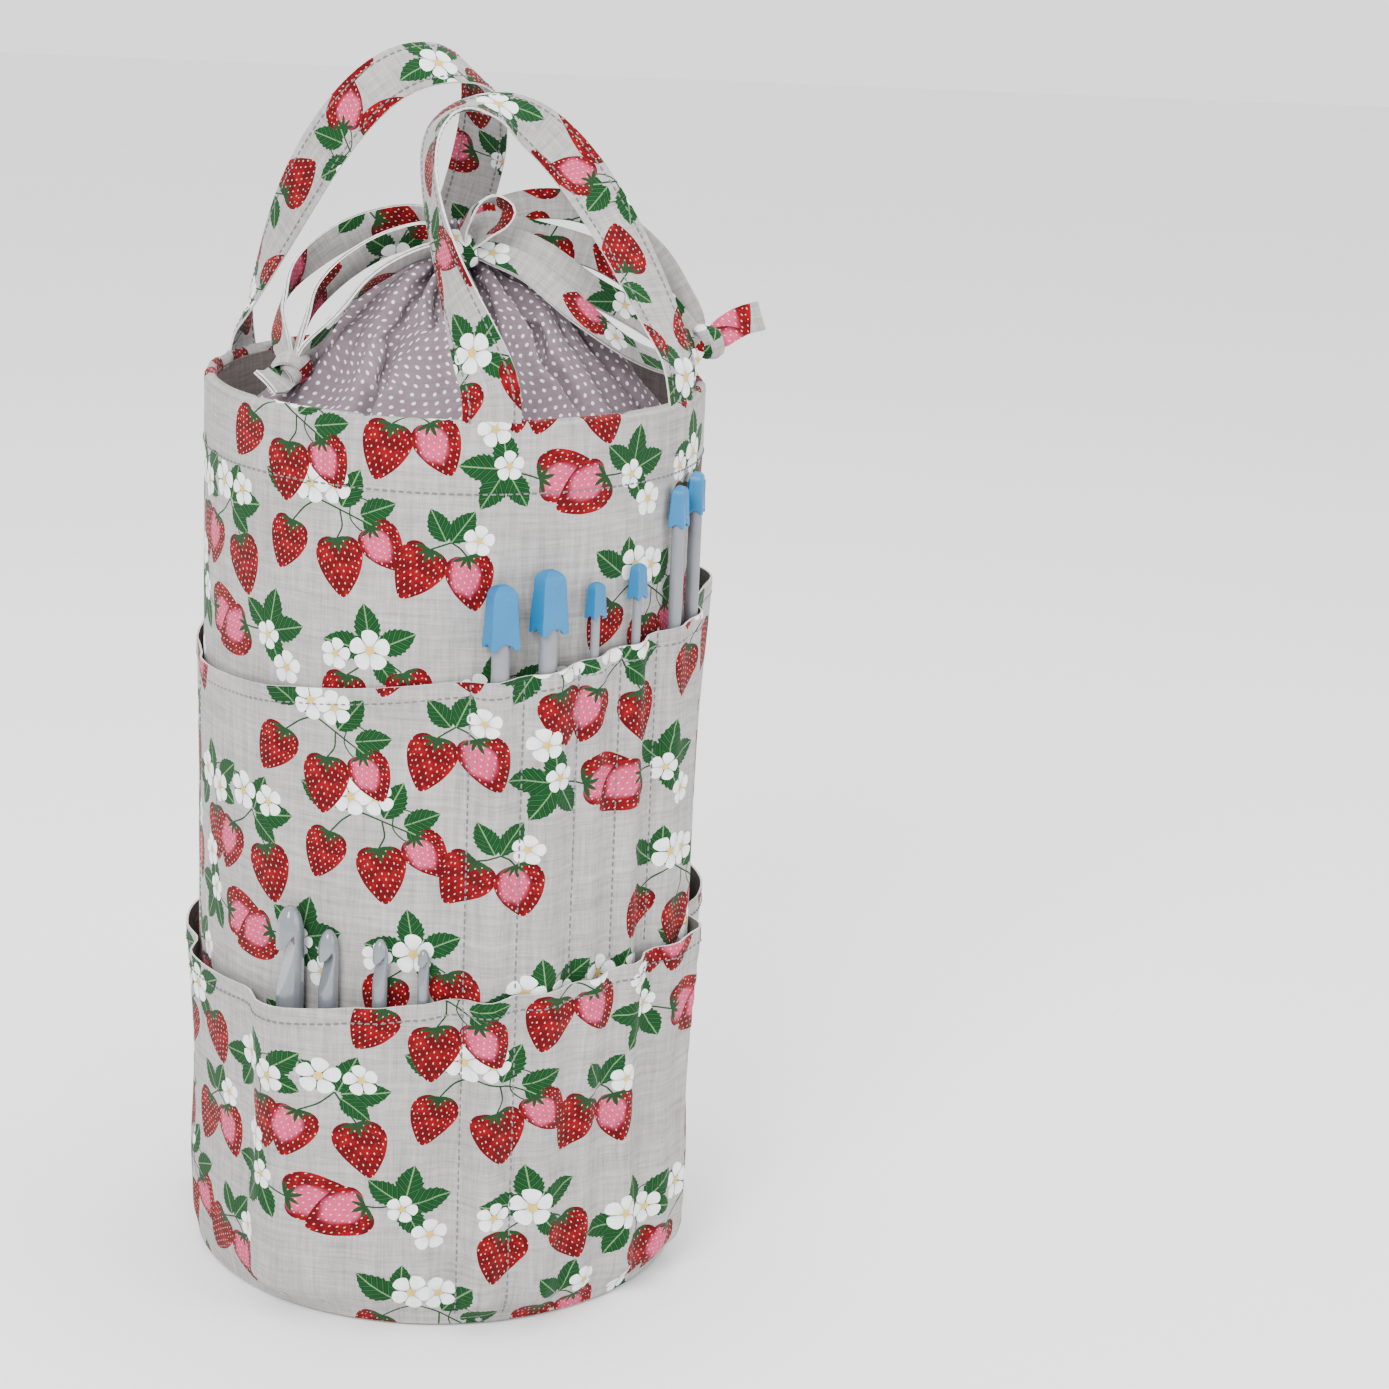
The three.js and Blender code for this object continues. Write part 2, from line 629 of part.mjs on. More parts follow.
buildWall();
buildBase();
buildPockets();
buildCollar();
HANDLES.forEach(buildHandle);
HANDLES.forEach(buildTabs);
buildDrawstrings();
NEEDLES.forEach(buildNeedle);
HOOKS.forEach(buildHook);

export default group;
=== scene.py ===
"""Knitting bag: a printed linen tub with pockets, handles, a drawn collar, needles and hooks.

Every soft piece is cut flat, printed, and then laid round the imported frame. Sizes are metres.
"""

import math
import random

import bmesh
import bpy
import numpy as np
from bpy.props import FloatProperty, FloatVectorProperty, IntProperty, PointerProperty
from mathutils import Matrix, Vector, geometry
from mathutils.bvhtree import BVHTree


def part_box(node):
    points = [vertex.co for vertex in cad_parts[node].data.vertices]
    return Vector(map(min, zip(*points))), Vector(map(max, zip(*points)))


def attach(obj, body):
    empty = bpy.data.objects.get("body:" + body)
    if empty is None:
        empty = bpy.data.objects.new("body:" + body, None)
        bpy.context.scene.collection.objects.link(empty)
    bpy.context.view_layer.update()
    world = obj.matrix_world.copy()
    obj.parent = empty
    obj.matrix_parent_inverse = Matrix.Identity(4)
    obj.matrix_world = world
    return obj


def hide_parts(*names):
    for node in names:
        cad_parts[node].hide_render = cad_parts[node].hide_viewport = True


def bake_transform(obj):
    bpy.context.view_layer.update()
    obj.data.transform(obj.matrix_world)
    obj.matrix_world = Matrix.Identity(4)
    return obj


bl_info = {
    "name": "Knitting Bag",
    "version": (1, 0, 0),
    "blender": (4, 5, 0),
    "location": "View3D > Sidebar > Knitting Bag",
    "description": "Builds a printed knitting bag with its needles and hooks round its frame",
    "category": "Add Mesh",
}

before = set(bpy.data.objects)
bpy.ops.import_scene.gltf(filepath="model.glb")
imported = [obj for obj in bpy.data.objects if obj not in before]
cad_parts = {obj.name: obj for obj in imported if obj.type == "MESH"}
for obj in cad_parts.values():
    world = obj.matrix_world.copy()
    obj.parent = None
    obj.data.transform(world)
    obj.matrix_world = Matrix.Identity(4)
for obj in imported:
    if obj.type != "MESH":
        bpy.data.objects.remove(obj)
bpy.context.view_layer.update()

MM = 0.001
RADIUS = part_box("outer_shell")[1].x
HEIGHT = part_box("outer_shell")[1].z
FACING_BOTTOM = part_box("rim_facing")[0].z
BASE_TUCK = 9 * MM
GIRTH = 2 * math.pi * RADIUS
SEAM_ANGLE = math.radians(100)


# ---------------------------------------------------------------- settings


def length_property(name, description, default):
    return FloatProperty(name=name, description=description, default=default, unit="LENGTH")


class KnittingBagSizes(bpy.types.PropertyGroup):
    """Cloth thicknesses, print scale and stitching sizes"""

    cloth: length_property("Cloth", "Thickness of the printed cloth", 0.0009)
    grid: length_property("Grid", "Spacing of the cloth's own points", 0.0055)
    repeat_width: length_property("Repeat width", "Width of one repeat of the print", 0.164)
    repeat_height: length_property("Repeat height", "Height of one repeat of the print", 0.146)
    stitch: length_property("Stitch", "Length of one stitch", 0.0024)
    stitch_pitch: length_property("Stitch pitch", "Distance from stitch to stitch", 0.0034)
    pleats: IntProperty(name="Pleats", description="Folds round the collar's throat", default=21)


def colour_property(name, description, default):
    return FloatVectorProperty(
        name=name, description=description, default=default, subtype="COLOR", size=3, min=0, max=1
    )


class KnittingBagColours(bpy.types.PropertyGroup):
    """Base colours of the cloths and plastics"""

    linen: colour_property("Linen", "Ground of the printed cloth", (0.365, 0.354, 0.347))
    # The back of the cloth: its unprinted side, made darker than the linen as painted shade for the
    # inside of the rim and the undersides of the straps
    reverse: colour_property("Reverse", "Unprinted back of the cloth", (0.190, 0.170, 0.155))
    berry: colour_property("Berry", "Ripe berries of the print", (0.090, 0.0001, 0.0022))
    blush: colour_property("Blush", "Pale side of the pink berries", (0.50, 0.060, 0.14))
    leaf: colour_property("Leaf", "Leaves of the print", (0.002, 0.026, 0.0055))
    petal: colour_property("Petal", "Blossoms of the print", (0.82, 0.83, 0.84))
    collar: colour_property("Collar", "Ground of the dotted collar", (0.185, 0.143, 0.166))
    cap: colour_property("Cap", "Plastic caps of the needles", (0.0, 0.140, 0.33))
    needle: colour_property("Needle", "Plastic shafts of the needles", (0.18, 0.19, 0.21))
    hook: colour_property("Hook", "Plastic of the crochet hooks", (0.15, 0.165, 0.185))


def sizes():
    return bpy.context.scene.knitting_bag_sizes


def colours():
    return bpy.context.scene.knitting_bag_colours


# ---------------------------------------------------------------- materials


def add_node(tree, kind, inputs=(), **settings):
    """A node with its settings, and each input linked or set"""
    made = tree.nodes.new(kind)
    for key, value in settings.items():
        setattr(made, key, value)
    for key, value in dict(inputs).items():
        value = getattr(value, "socket", value)
        if isinstance(value, bpy.types.NodeSocket):
            tree.links.new(value, made.inputs[key])
        else:
            made.inputs[key].default_value = value
    return made


class Sum:
    """A number inside a shader, so that its sums are written as sums"""

    def __init__(self, tree, socket):
        self.tree = tree
        self.socket = socket

    def of(self, operation, *others, first=None):
        values = (first, self) if first is not None else (self, *others)
        made = add_node(self.tree, "ShaderNodeMath", dict(enumerate(values)), operation=operation)
        return Sum(self.tree, made.outputs[0])

    def __add__(self, other):
        return self.of("ADD", other)

    def __sub__(self, other):
        return self.of("SUBTRACT", other)

    def __rsub__(self, other):
        return self.of("SUBTRACT", first=other)

    def __mul__(self, other):
        return self.of("MULTIPLY", other)

    def __truediv__(self, other):
        return self.of("DIVIDE", other)

    def size(self):
        return self.of("ABSOLUTE")

    def part(self):
        """How far past the last whole number, less a half"""
        return self.of("FRACT") - 0.5

    def odd_rows(self):
        """A half on every second whole step, for staggered rows"""
        return self.of("FLOOR").of("FLOORED_MODULO", 2.0) * 0.5

    def rise(self, low, high, bottom=0.0, top=1.0, smooth="SMOOTHSTEP"):
        """The bottom value below low, the top value above high, and even or smooth between"""
        ends = {"Value": self, "From Min": low, "From Max": high, "To Min": bottom, "To Max": top}
        made = add_node(self.tree, "ShaderNodeMapRange", ends, interpolation_type=smooth)
        return Sum(self.tree, made.outputs[0])


def mix_colour(tree, factor, a, b, blend="MIX"):
    inputs = {0: factor, 6: a, 7: b}
    return add_node(tree, "ShaderNodeMix", inputs, data_type="RGBA", blend_type=blend).outputs[2]


def noise(tree, vector, scale, detail=2.0, roughness=0.5):
    inputs = {"Vector": vector, "Scale": scale, "Detail": detail, "Roughness": roughness}
    return Sum(tree, add_node(tree, "ShaderNodeTexNoise", inputs).outputs[0])


def object_place(tree):
    return add_node(tree, "ShaderNodeTexCoord").outputs["Object"]


def full(colour, gain=1.0):
    return (*(gain * c for c in colour), 1.0)


def uv_parts(tree, layer):
    uv = add_node(tree, "ShaderNodeUVMap", uv_map=layer)
    split = add_node(tree, "ShaderNodeSeparateXYZ", {0: uv.outputs[0]})
    return uv.outputs[0], Sum(tree, split.outputs[0]), Sum(tree, split.outputs[1])


def streaks(tree, uv, across, along):
    """Noise drawn out along one thread direction"""
    inputs = {0: uv, 1: (across, along, 1)}
    scaled = add_node(tree, "ShaderNodeVectorMath", inputs, operation="MULTIPLY")
    return noise(tree, scaled.outputs[0], 1.0, 2.0, 0.55)


def linen_weave(tree):
    """Shade and height of a slubby plain weave, from the flat cloth's own lengths"""
    uv = uv_parts(tree, "cloth")[0]
    fine = streaks(tree, uv, 1500, 90) + streaks(tree, uv, 90, 1500)
    slubs = streaks(tree, uv, 420, 22) + streaks(tree, uv, 22, 420)
    return fine * 0.36 + slubs * 0.40, fine


def cloth_finish(tree, colour, height, bump=0.25, roughness=0.85):
    shader = tree.nodes["Principled BSDF"]
    shader.inputs["Roughness"].default_value = roughness
    shader.inputs["Sheen Weight"].default_value = 0.05
    shader.inputs["Sheen Roughness"].default_value = 0.5
    shader.inputs["Specular IOR Level"].default_value = 0.12
    inputs = {"Height": height, "Strength": bump, "Distance": 0.0004}
    raised = add_node(tree, "ShaderNodeBump", inputs)
    tree.links.new(colour, shader.inputs["Base Color"])
    tree.links.new(raised.outputs[0], shader.inputs["Normal"])


def woven(tree, colour, depth=0.5):
    """A colour with the weave's light and shade on it"""
    shade, height = linen_weave(tree)
    level = shade.rise(0.56, 0.96, 1 - depth, 1 + 0.4 * depth, "LINEAR")
    grey = add_node(tree, "ShaderNodeCombineColor", {0: level, 1: level, 2: level}).outputs[0]
    cloth_finish(tree, mix_colour(tree, 1.0, colour, grey, "MULTIPLY"), height)


def new_material(name):
    material = bpy.data.materials.new(name)
    material.use_nodes = True
    return material, material.node_tree


def dyed(tree, colour):
    """The colour varied a little over the cloth, as dye takes unevenly"""
    cloud = noise(tree, uv_parts(tree, "cloth")[0], 30.0)
    return mix_colour(tree, cloud.rise(0.35, 0.7), full(colour, 0.9), full(colour))


def plain_cloth(name, colour, depth=0.25, gain=1.0):
    material, tree = new_material(name)
    woven(tree, dyed(tree, [gain * c for c in colour]), depth)
    return material


def linen_ground(name="linen_ground", gain=1.0):
    return plain_cloth(name, colours().linen, 0.40, gain)


def berry_skin():
    """Red skin, a pale blush on some berries, and rows of light seeds"""
    material, tree = new_material("berry_skin")
    uv, x, y = uv_parts(tree, "motif")
    light = (2.2 * colours().berry[0], 0.0012, 0.004, 1)
    patchy = noise(tree, uv, 1.6)
    body = mix_colour(tree, patchy.rise(0.42, 0.66), full(colours().berry), light)
    tint = Sum(tree, add_node(tree, "ShaderNodeAttribute", attribute_name="tint").outputs[2])
    aside = x + tint * 0.2
    drop = y - 0.12
    outward = (aside * aside + drop * drop * 0.55).of("SQRT")
    inside = 1.0 - (patchy * 0.35 + outward).rise(0.62, 0.88)
    body = mix_colour(tree, inside * tint.rise(0.45, 0.55), body, full(colours().blush))
    body = mix_colour(tree, seed_rows(x, y) * 0.75, body, (0.74, 0.58, 0.44, 1))
    woven(tree, body, 0.28)
    return material


def seed_rows(x, y):
    """1 on small upright ellipses set in staggered rows"""
    row = y * 4.2
    up = (x * x * 1.2 + row).part()
    side = (x * 3.8 + row.odd_rows()).part()
    return 1.0 - (side * side * 120.0 + up * up * 24.0).rise(0.55, 1.15)


def leaf_blade():
    """Dark green blade with a pale midrib and side veins"""
    material, tree = new_material("leaf_blade")
    x, y = uv_parts(tree, "motif")[1:]
    dark, lighter, vein = full(colours().leaf), full(colours().leaf, 2.6), (0.04, 0.15, 0.05, 1)
    aside = y.size()
    stripe = ((x - aside * 0.9) * 6.5).part().size()
    body = mix_colour(tree, stripe.rise(0.12, 0.42) * 0.55, dark, lighter)
    body = mix_colour(tree, (1.0 - stripe.rise(0.03, 0.13)) * 0.6, body, vein)
    body = mix_colour(tree, (1.0 - aside.rise(0.006, 0.022)) * 0.85, body, (0.16, 0.28, 0.13, 1))
    woven(tree, body, 0.25)
    return material


def petal_white():
    """White petals with a soft grey throat and faint creases"""
    material, tree = new_material("petal_white")
    uv, x = uv_parts(tree, "motif")[:2]
    inputs = {"Vector": uv, "Scale": 1.7, "Distortion": 1.5}
    crease = Sum(tree, add_node(tree, "ShaderNodeTexWave", inputs, bands_direction="Y").outputs[1])
    grey = ((1.0 - x.rise(0.15, 0.60)) + crease * 0.12) * 0.5
    body = mix_colour(tree, grey, full(colours().petal), (0.45, 0.47, 0.49, 1))
    woven(tree, body, 0.16)
    return material


# The print's shapes in the order of their materials, which end with the cloth's back, darkened with
# painted shade, and its edge, lightened with a painted highlight
PRINT_KINDS = ("ground", "berry", "leaf", "petal", "eye", "stem")
PRINT_NAMES = (
    "linen_ground",
    "berry_skin",
    "leaf_blade",
    "petal_white",
    "blossom_eye",
    "print_stem",
    "linen_reverse_with_painted_shade",
    "linen_edge_painted_highlight",
)
REVERSE = PRINT_NAMES.index("linen_reverse_with_painted_shade")
EDGE = PRINT_NAMES.index("linen_edge_painted_highlight")


def print_materials():
    """The printed cloth's materials, made once and shared"""
    found = [bpy.data.materials.get(name) for name in PRINT_NAMES]
    if all(found):
        return found
    return [
        linen_ground(),
        berry_skin(),
        leaf_blade(),
        petal_white(),
        plain_cloth("blossom_eye", (0.62, 0.44, 0.12)),
        plain_cloth("print_stem", (0.012, 0.045, 0.014)),
        # The cloth's back, darkened with painted shade
        plain_cloth("linen_reverse_with_painted_shade", colours().reverse, 0.4),
        # The cloth's edge: the linen ground 1.9 times brighter, a painted highlight along its folds
        linen_ground("linen_edge_painted_highlight", 1.9),
    ]


# ---------------------------------------------------------------- the print


def curve_point(a, b, c, d, t):
    """A point at a share of the way from b to c, on the smooth curve through all four"""
    bend = (2 * a - 5 * b + 4 * c - d) * t**2 + (3 * b - 3 * c + d - a) * t**3
    return 0.5 * (2 * b + (c - a) * t + bend)


def rounded(points, count):
    """A closed smooth outline through the points"""
    p = np.array(points, float)
    n = len(p)
    out = []
    for i in range(n):
        a, b, c, d = p[i - 1], p[i], p[(i + 1) % n], p[(i + 2) % n]
        for k in range(count):
            t = k / count
            out.append(curve_point(a, b, c, d, t))
    return np.array(out)


def mirrored(points):
    """The right half of an outline, from top to bottom, with its left half added"""
    return points + [(-x, y) for x, y in reversed(points) if x > 1e-9]


BERRY = rounded(
    mirrored([(0, 0.86), (0.4, 1.0), (0.82, 0.82), (1.0, 0.3), (0.86, -0.3), (0.54, -0.88), (0, -1.4)]),
    3,
)
SEPAL = rounded([(0, 0), (0.45, 0.17), (1, 0.02), (0.5, -0.12)], 3)
PETAL = rounded(
    [(0.16, 0), (0.5, 0.34), (0.86, 0.36), (0.98, 0.1), (0.94, -0.16), (0.72, -0.4), (0.42, -0.27)],
    2,
)


def leaf_outline(teeth=8):
    """A pointed oval whose edge is cut into teeth that lean to the tip"""
    side = []
    for i in range(teeth):
        for share, cut in ((0.15, 0.93), (0.9, 1.09)):
            x = (i + share) / teeth
            side.append((x, 0.31 * math.sin(math.pi * x**0.84) ** 0.78 * cut))
    return np.array([(0, 0)] + side + [(1.03, 0)] + [(x, -y) for x, y in reversed(side)])


LEAF = leaf_outline()
EYE = np.array([(math.cos(a), math.sin(a)) for a in np.linspace(0, 2 * math.pi, 12, False)])


def anticlockwise(outline):
    x, y = outline.T
    doubled = np.sum(x * np.roll(y, -1) - y * np.roll(x, -1))
    return outline if doubled > 0 else outline[::-1]


class Print:
    """Shapes of a printed pattern, later ones over earlier ones"""

    def __init__(self):
        self.outlines = []
        self.kinds = []
        self.frames = []

    def add(self, kind, outline, x, y, angle, size, tint=0.0, local=1.0):
        c, s = math.cos(angle), math.sin(angle)
        turn = np.array([[c, s], [-s, c]]) * size
        self.outlines.append(anticlockwise(outline @ turn + (x, y)))
        self.kinds.append(PRINT_KINDS.index(kind))
        self.frames.append((x, y, c, s, size / local, tint))

    def stem(self, points, width):
        """A thin curved line through the points"""
        p = np.array(points, float)
        t = np.linspace(0, len(p) - 1, 4 * len(p))
        line = np.stack([np.interp(t, range(len(p)), p[:, k]) for k in (0, 1)], 1)
        line[1:-1] = (line[:-2] + 2 * line[1:-1] + line[2:]) / 4
        line[1:-1] = (line[:-2] + 2 * line[1:-1] + line[2:]) / 4
        along = np.gradient(line, axis=0)
        side = np.stack([-along[:, 1], along[:, 0]], 1)
        side *= width / 2 / np.linalg.norm(side, axis=1)[:, None]
        self.outlines.append(anticlockwise(np.concatenate([line + side, (line - side)[::-1]])))
        self.kinds.append(PRINT_KINDS.index("stem"))
        self.frames.append((0, 0, 1, 0, 1, 0))


def draw_berry(art, x, y, angle, size, pink):
    """A berry hanging from (x, y), with its sepals"""
    tip = angle - math.pi / 2
    cx, cy = x + math.cos(tip) * size * 0.92, y + math.sin(tip) * size * 0.92
    art.add("berry", BERRY, cx, cy, angle, size, tint=pink)
    for k, spread in enumerate((-1.25, -0.62, 0.05, 0.66, 1.3)):
        reach = 0.62 - 0.08 * (k % 2)
        art.add("stem", SEPAL, x, y, tip + spread * 1.12, size * reach)


def draw_bloom(art, x, y, angle, size):
    """Five petals round an eye"""
    for k in range(5):
        turn = angle + k * 2 * math.pi / 5
        art.add("petal", PETAL, x, y, turn, size)
    art.add("eye", EYE, x, y, 0, size * 0.23)


def draw_curl(art, x, y, angle, size, width):
    """A tendril that ends in a curl"""
    turns = np.linspace(0, 1, 9)
    points = []
    for t in turns:
        a = angle + 4.6 * t * t
        reach = size * (t if t < 0.55 else 0.55 + 0.25 * (t - 0.55))
        points.append((x + reach * math.cos(a), y + reach * math.sin(a)))
    art.stem(points, width)


def turned_list(items, x, y, angle):
    c, s = math.cos(angle), math.sin(angle)
    return [(x + c * px - s * py, y + s * px + c * py) for px, py in items]


# Each sprig lists its stems, leaves (x, y, degrees, length), berries (x, y, degrees, size,
# pink) and blooms (x, y, degrees, size), in millimetres from its middle.
SPRIGS = (
    {
        "stems": [[(2, 6), (-4, 0), (-12, -4)], [(2, 6), (6, -2), (10, -8)]],
        "leaves": [(3, 6, 66, 18), (4, 5, 8, 20), (0, 7, 130, 17), (4, 3, -38, 15)],
        "berries": [(-12, -4, -16, 10.1, 1), (10, -8, 14, 10.9, 0)],
        "blooms": [(-4, 13, 10, 8.6), (12, 12, 30, 7.2)],
    },
    {
        "stems": [
            [(-12, 8), (-2, 7), (8, 3), (19, -2)],
            [(8, 3), (9, -4), (6, -9)],
            [(-2, 7), (-9, 3), (-15, -3)],
        ],
        "leaves": [
            (-12, 9, 150, 18), (-9, 10, 96, 15), (9, 4, 60, 18), (18, -1, -28, 17), (17, 1, 18, 16),
        ],
        "berries": [(6, -9, 4, 10.7, 0), (-15, -3, -22, 9.6, 0), (21, -4, 34, 9.2, 1)],
        "blooms": [(-5, 13, 0, 8.4), (6, 13, 40, 7.8)],
        "curls": [(20, 2, 50, 14)],
    },
    {
        "stems": [[(0, 8), (-3, 0), (-9, -5)], [(0, 8), (7, 4), (14, 0)]],
        "leaves": [(0, 9, 104, 18), (3, 8, 30, 18), (-2, 7, 176, 19), (3, 4, -50, 15)],
        "berries": [(-9, -5, -8, 10.2, 0), (15, 0, 24, 10.1, 0)],
        "blooms": [(0, 7, 24, 9.0), (-15, 3, 10, 6.8)],
    },
    {
        "stems": [[(1, 11), (-3, 9), (-7, 7)], [(1, 11), (5, 9), (8, 6)]],
        "leaves": [(1, 11, 60, 16), (-1, 11, 122, 15)],
        "berries": [(-7, 7, -24, 10.5, 0), (8, 6, 16, 10.0, 1)],
        "blooms": [(12, 13, 12, 6.6)],
    },
    {
        "stems": [[(-6, 4), (2, 4), (10, 6)], [(10, 6), (16, 0), (19, -7)]],
        "leaves": [(10, 6, 78, 18), (11, 5, 16, 18), (9, 5, -62, 17), (8, 6, 140, 16)],
        "berries": [(-5, 4, -62, 11.3, 1)],
        "blooms": [(20, -9, 15, 7.4), (9, 3, 0, 6.4)],
    },
    {
        "stems": [[(-8, 0), (0, 2), (8, 2)], [(0, 2), (3, -6), (2, -11)]],
        "leaves": [
            (-8, 0, 176, 18), (8, 2, 32, 18), (1, 2, 92, 17), (-7, -1, 232, 16), (7, 1, -28, 16),
        ],
        "berries": [(2, -11, 2, 10.4, 0)],
        "blooms": [(-7, 4, 0, 8.2), (8, -1, 30, 7.6)],
        "curls": [(9, 2, -70, 13)],
    },
)

STEM_WIDTH = 0.75 * MM
CURL_WIDTH = 0.6 * MM
# Where the sprigs stand in one repeat, as shares of it: sprig, across, up, turn in degrees
REPEAT = (
    (0, 0.08, 0.80, 0),
    (1, 0.43, 0.86, 4),
    (3, 0.75, 0.74, -6),
    (4, 0.20, 0.46, 0),
    (2, 0.56, 0.44, -4),
    (5, 0.88, 0.36, 6),
    (1, 0.30, 0.12, -8),
    (3, 0.66, 0.10, 8),
    (4, 0.96, 0.03, 160),
)


def draw_sprig(art, sprig, x, y, angle):
    def laid(px, py, degrees, size):
        """Place, direction and size on the cloth of one shape of the sprig"""
        ((across, up),) = turned_list([(px, py)], x, y, angle)
        return across * MM, up * MM, math.radians(degrees) + angle, size * MM

    for points in sprig["stems"]:
        art.stem(np.array(turned_list(points, x, y, angle)) * MM, STEM_WIDTH)
    for leaf in sprig["leaves"]:
        art.add("leaf", LEAF, *laid(*leaf))
    for curl in sprig.get("curls", ()):
        draw_curl(art, *laid(*curl), CURL_WIDTH)
    for *berry, pink in sprig["berries"]:
        draw_berry(art, *laid(*berry), pink)
    for bloom in sprig["blooms"]:
        draw_bloom(art, *laid(*bloom))


def printed(low, high, shift=(0.0, 0.0)):
    """The print over a flat rectangle"""
    art = Print()
    wide, tall = sizes().repeat_width, sizes().repeat_height
    margin = 0.03
    columns = range(math.floor((low[0] - margin) / wide) - 1, math.ceil((high[0] + margin) / wide) + 1)
    rows = range(math.floor((low[1] - margin) / tall) - 1, math.ceil((high[1] + margin) / tall) + 1)
    for column in columns:
        for row in rows:
            for kind, across, up, degrees in REPEAT:
                x = (column + across) * wide + shift[0]
                y = (row + up + 0.5 * (column % 2)) * tall + shift[1]
                if low[0] - margin < x < high[0] + margin and low[1] - margin < y < high[1] + margin:
                    draw_sprig(art, SPRIGS[kind], x / MM, y / MM, math.radians(degrees))
    return art


def cut_cloth(boundary, art, grid):
    """Flat printed cloth inside a boundary: points, triangles, and each triangle's top shape"""
    boundary = np.array(boundary, float)
    low, high = boundary.min(0), boundary.max(0)
    xs = np.arange(low[0] + grid / 2, high[0], grid)
    ys = np.arange(low[1] + grid / 2, high[1], grid)
    inner = [(x + (grid / 2 if j % 2 else 0), y) for j, y in enumerate(ys) for x in xs]
    points = [Vector(p) for p in boundary]
    faces = [list(range(len(boundary)))]
    shapes = [-1]
    for i, outline in enumerate(art.outlines if art else ()):
        if (outline.max(0) < low).any() or (outline.min(0) > high).any():
            continue
        faces.append(list(range(len(points), len(points) + len(outline))))
        points.extend(Vector(p) for p in outline)
        shapes.append(i)
    points.extend(Vector(p) for p in inner)
    made = geometry.delaunay_2d_cdt(points, [], faces, 0, 1e-7, True)
    flat = np.array([tuple(p) for p in made[0]])
    triangles, tops = [], []
    for corners, sources in zip(made[2], made[5]):
        if 0 in sources:
            triangles.append(corners)
            tops.append(shapes[max(sources)])
    triangles = np.array(triangles)
    used, triangles = np.unique(triangles, return_inverse=True)
    return flat[used], triangles.reshape(-1, 3), np.array(tops)


def welded(strips):
    """Flat strips joined along their shared edges: points, triangles and top shapes"""
    bm = bmesh.new()
    mark = bm.faces.layers.int.new("top")
    for flat, triangles, tops in strips:
        made = [bm.verts.new((u, v, 0)) for u, v in flat]
        for corners, top in zip(triangles, tops):
            bm.faces.new([made[i] for i in corners])[mark] = int(top)
    bmesh.ops.remove_doubles(bm, verts=bm.verts, dist=4e-6)
    bm.verts.index_update()
    flat = np.array([v.co[:2] for v in bm.verts])
    triangles = np.array([[v.index for v in f.verts] for f in bm.faces if len(f.verts) == 3])
    tops = np.array([f[mark] for f in bm.faces if len(f.verts) == 3])
    bm.free()
    return flat, triangles, tops


def cut_panel(left, right, bottom, top, art, grid=None, strip=0.056):
    """A flat panel between two heights that may change along it, cut in strips for speed"""
    grid = grid or sizes().grid
    count = max(1, round((right - left) / strip))
    strips = []
    for k in range(count):
        a = left + (right - left) * k / count
        b = left + (right - left) * (k + 1) / count
        across = np.linspace(a, b, max(2, math.ceil((b - a) / grid) + 1))
        under = [(u, bottom(u)) for u in across]
        over = [(u, top(u)) for u in across[::-1]]
        rise = [(b, v) for v in np.arange(bottom(b) + grid, top(b) - 0.4 * grid, grid)]
        fall = [(a, v) for v in np.arange(bottom(a) + grid, top(a) - 0.4 * grid, grid)]
        strips.append(cut_cloth(under + rise + over + fall[::-1], art, grid))
    return welded(strips)


def open_edges(triangles):
    """Directed edges that belong to one triangle only"""
    edges = np.concatenate([triangles[:, [0, 1]], triangles[:, [1, 2]], triangles[:, [2, 0]]])
    keys = np.sort(edges, 1)
    keys = keys[:, 0].astype(np.int64) * (triangles.max() + 1) + keys[:, 1]
    _, where, counts = np.unique(keys, return_inverse=True, return_counts=True)
    return edges[counts[where.reshape(-1)] == 1]


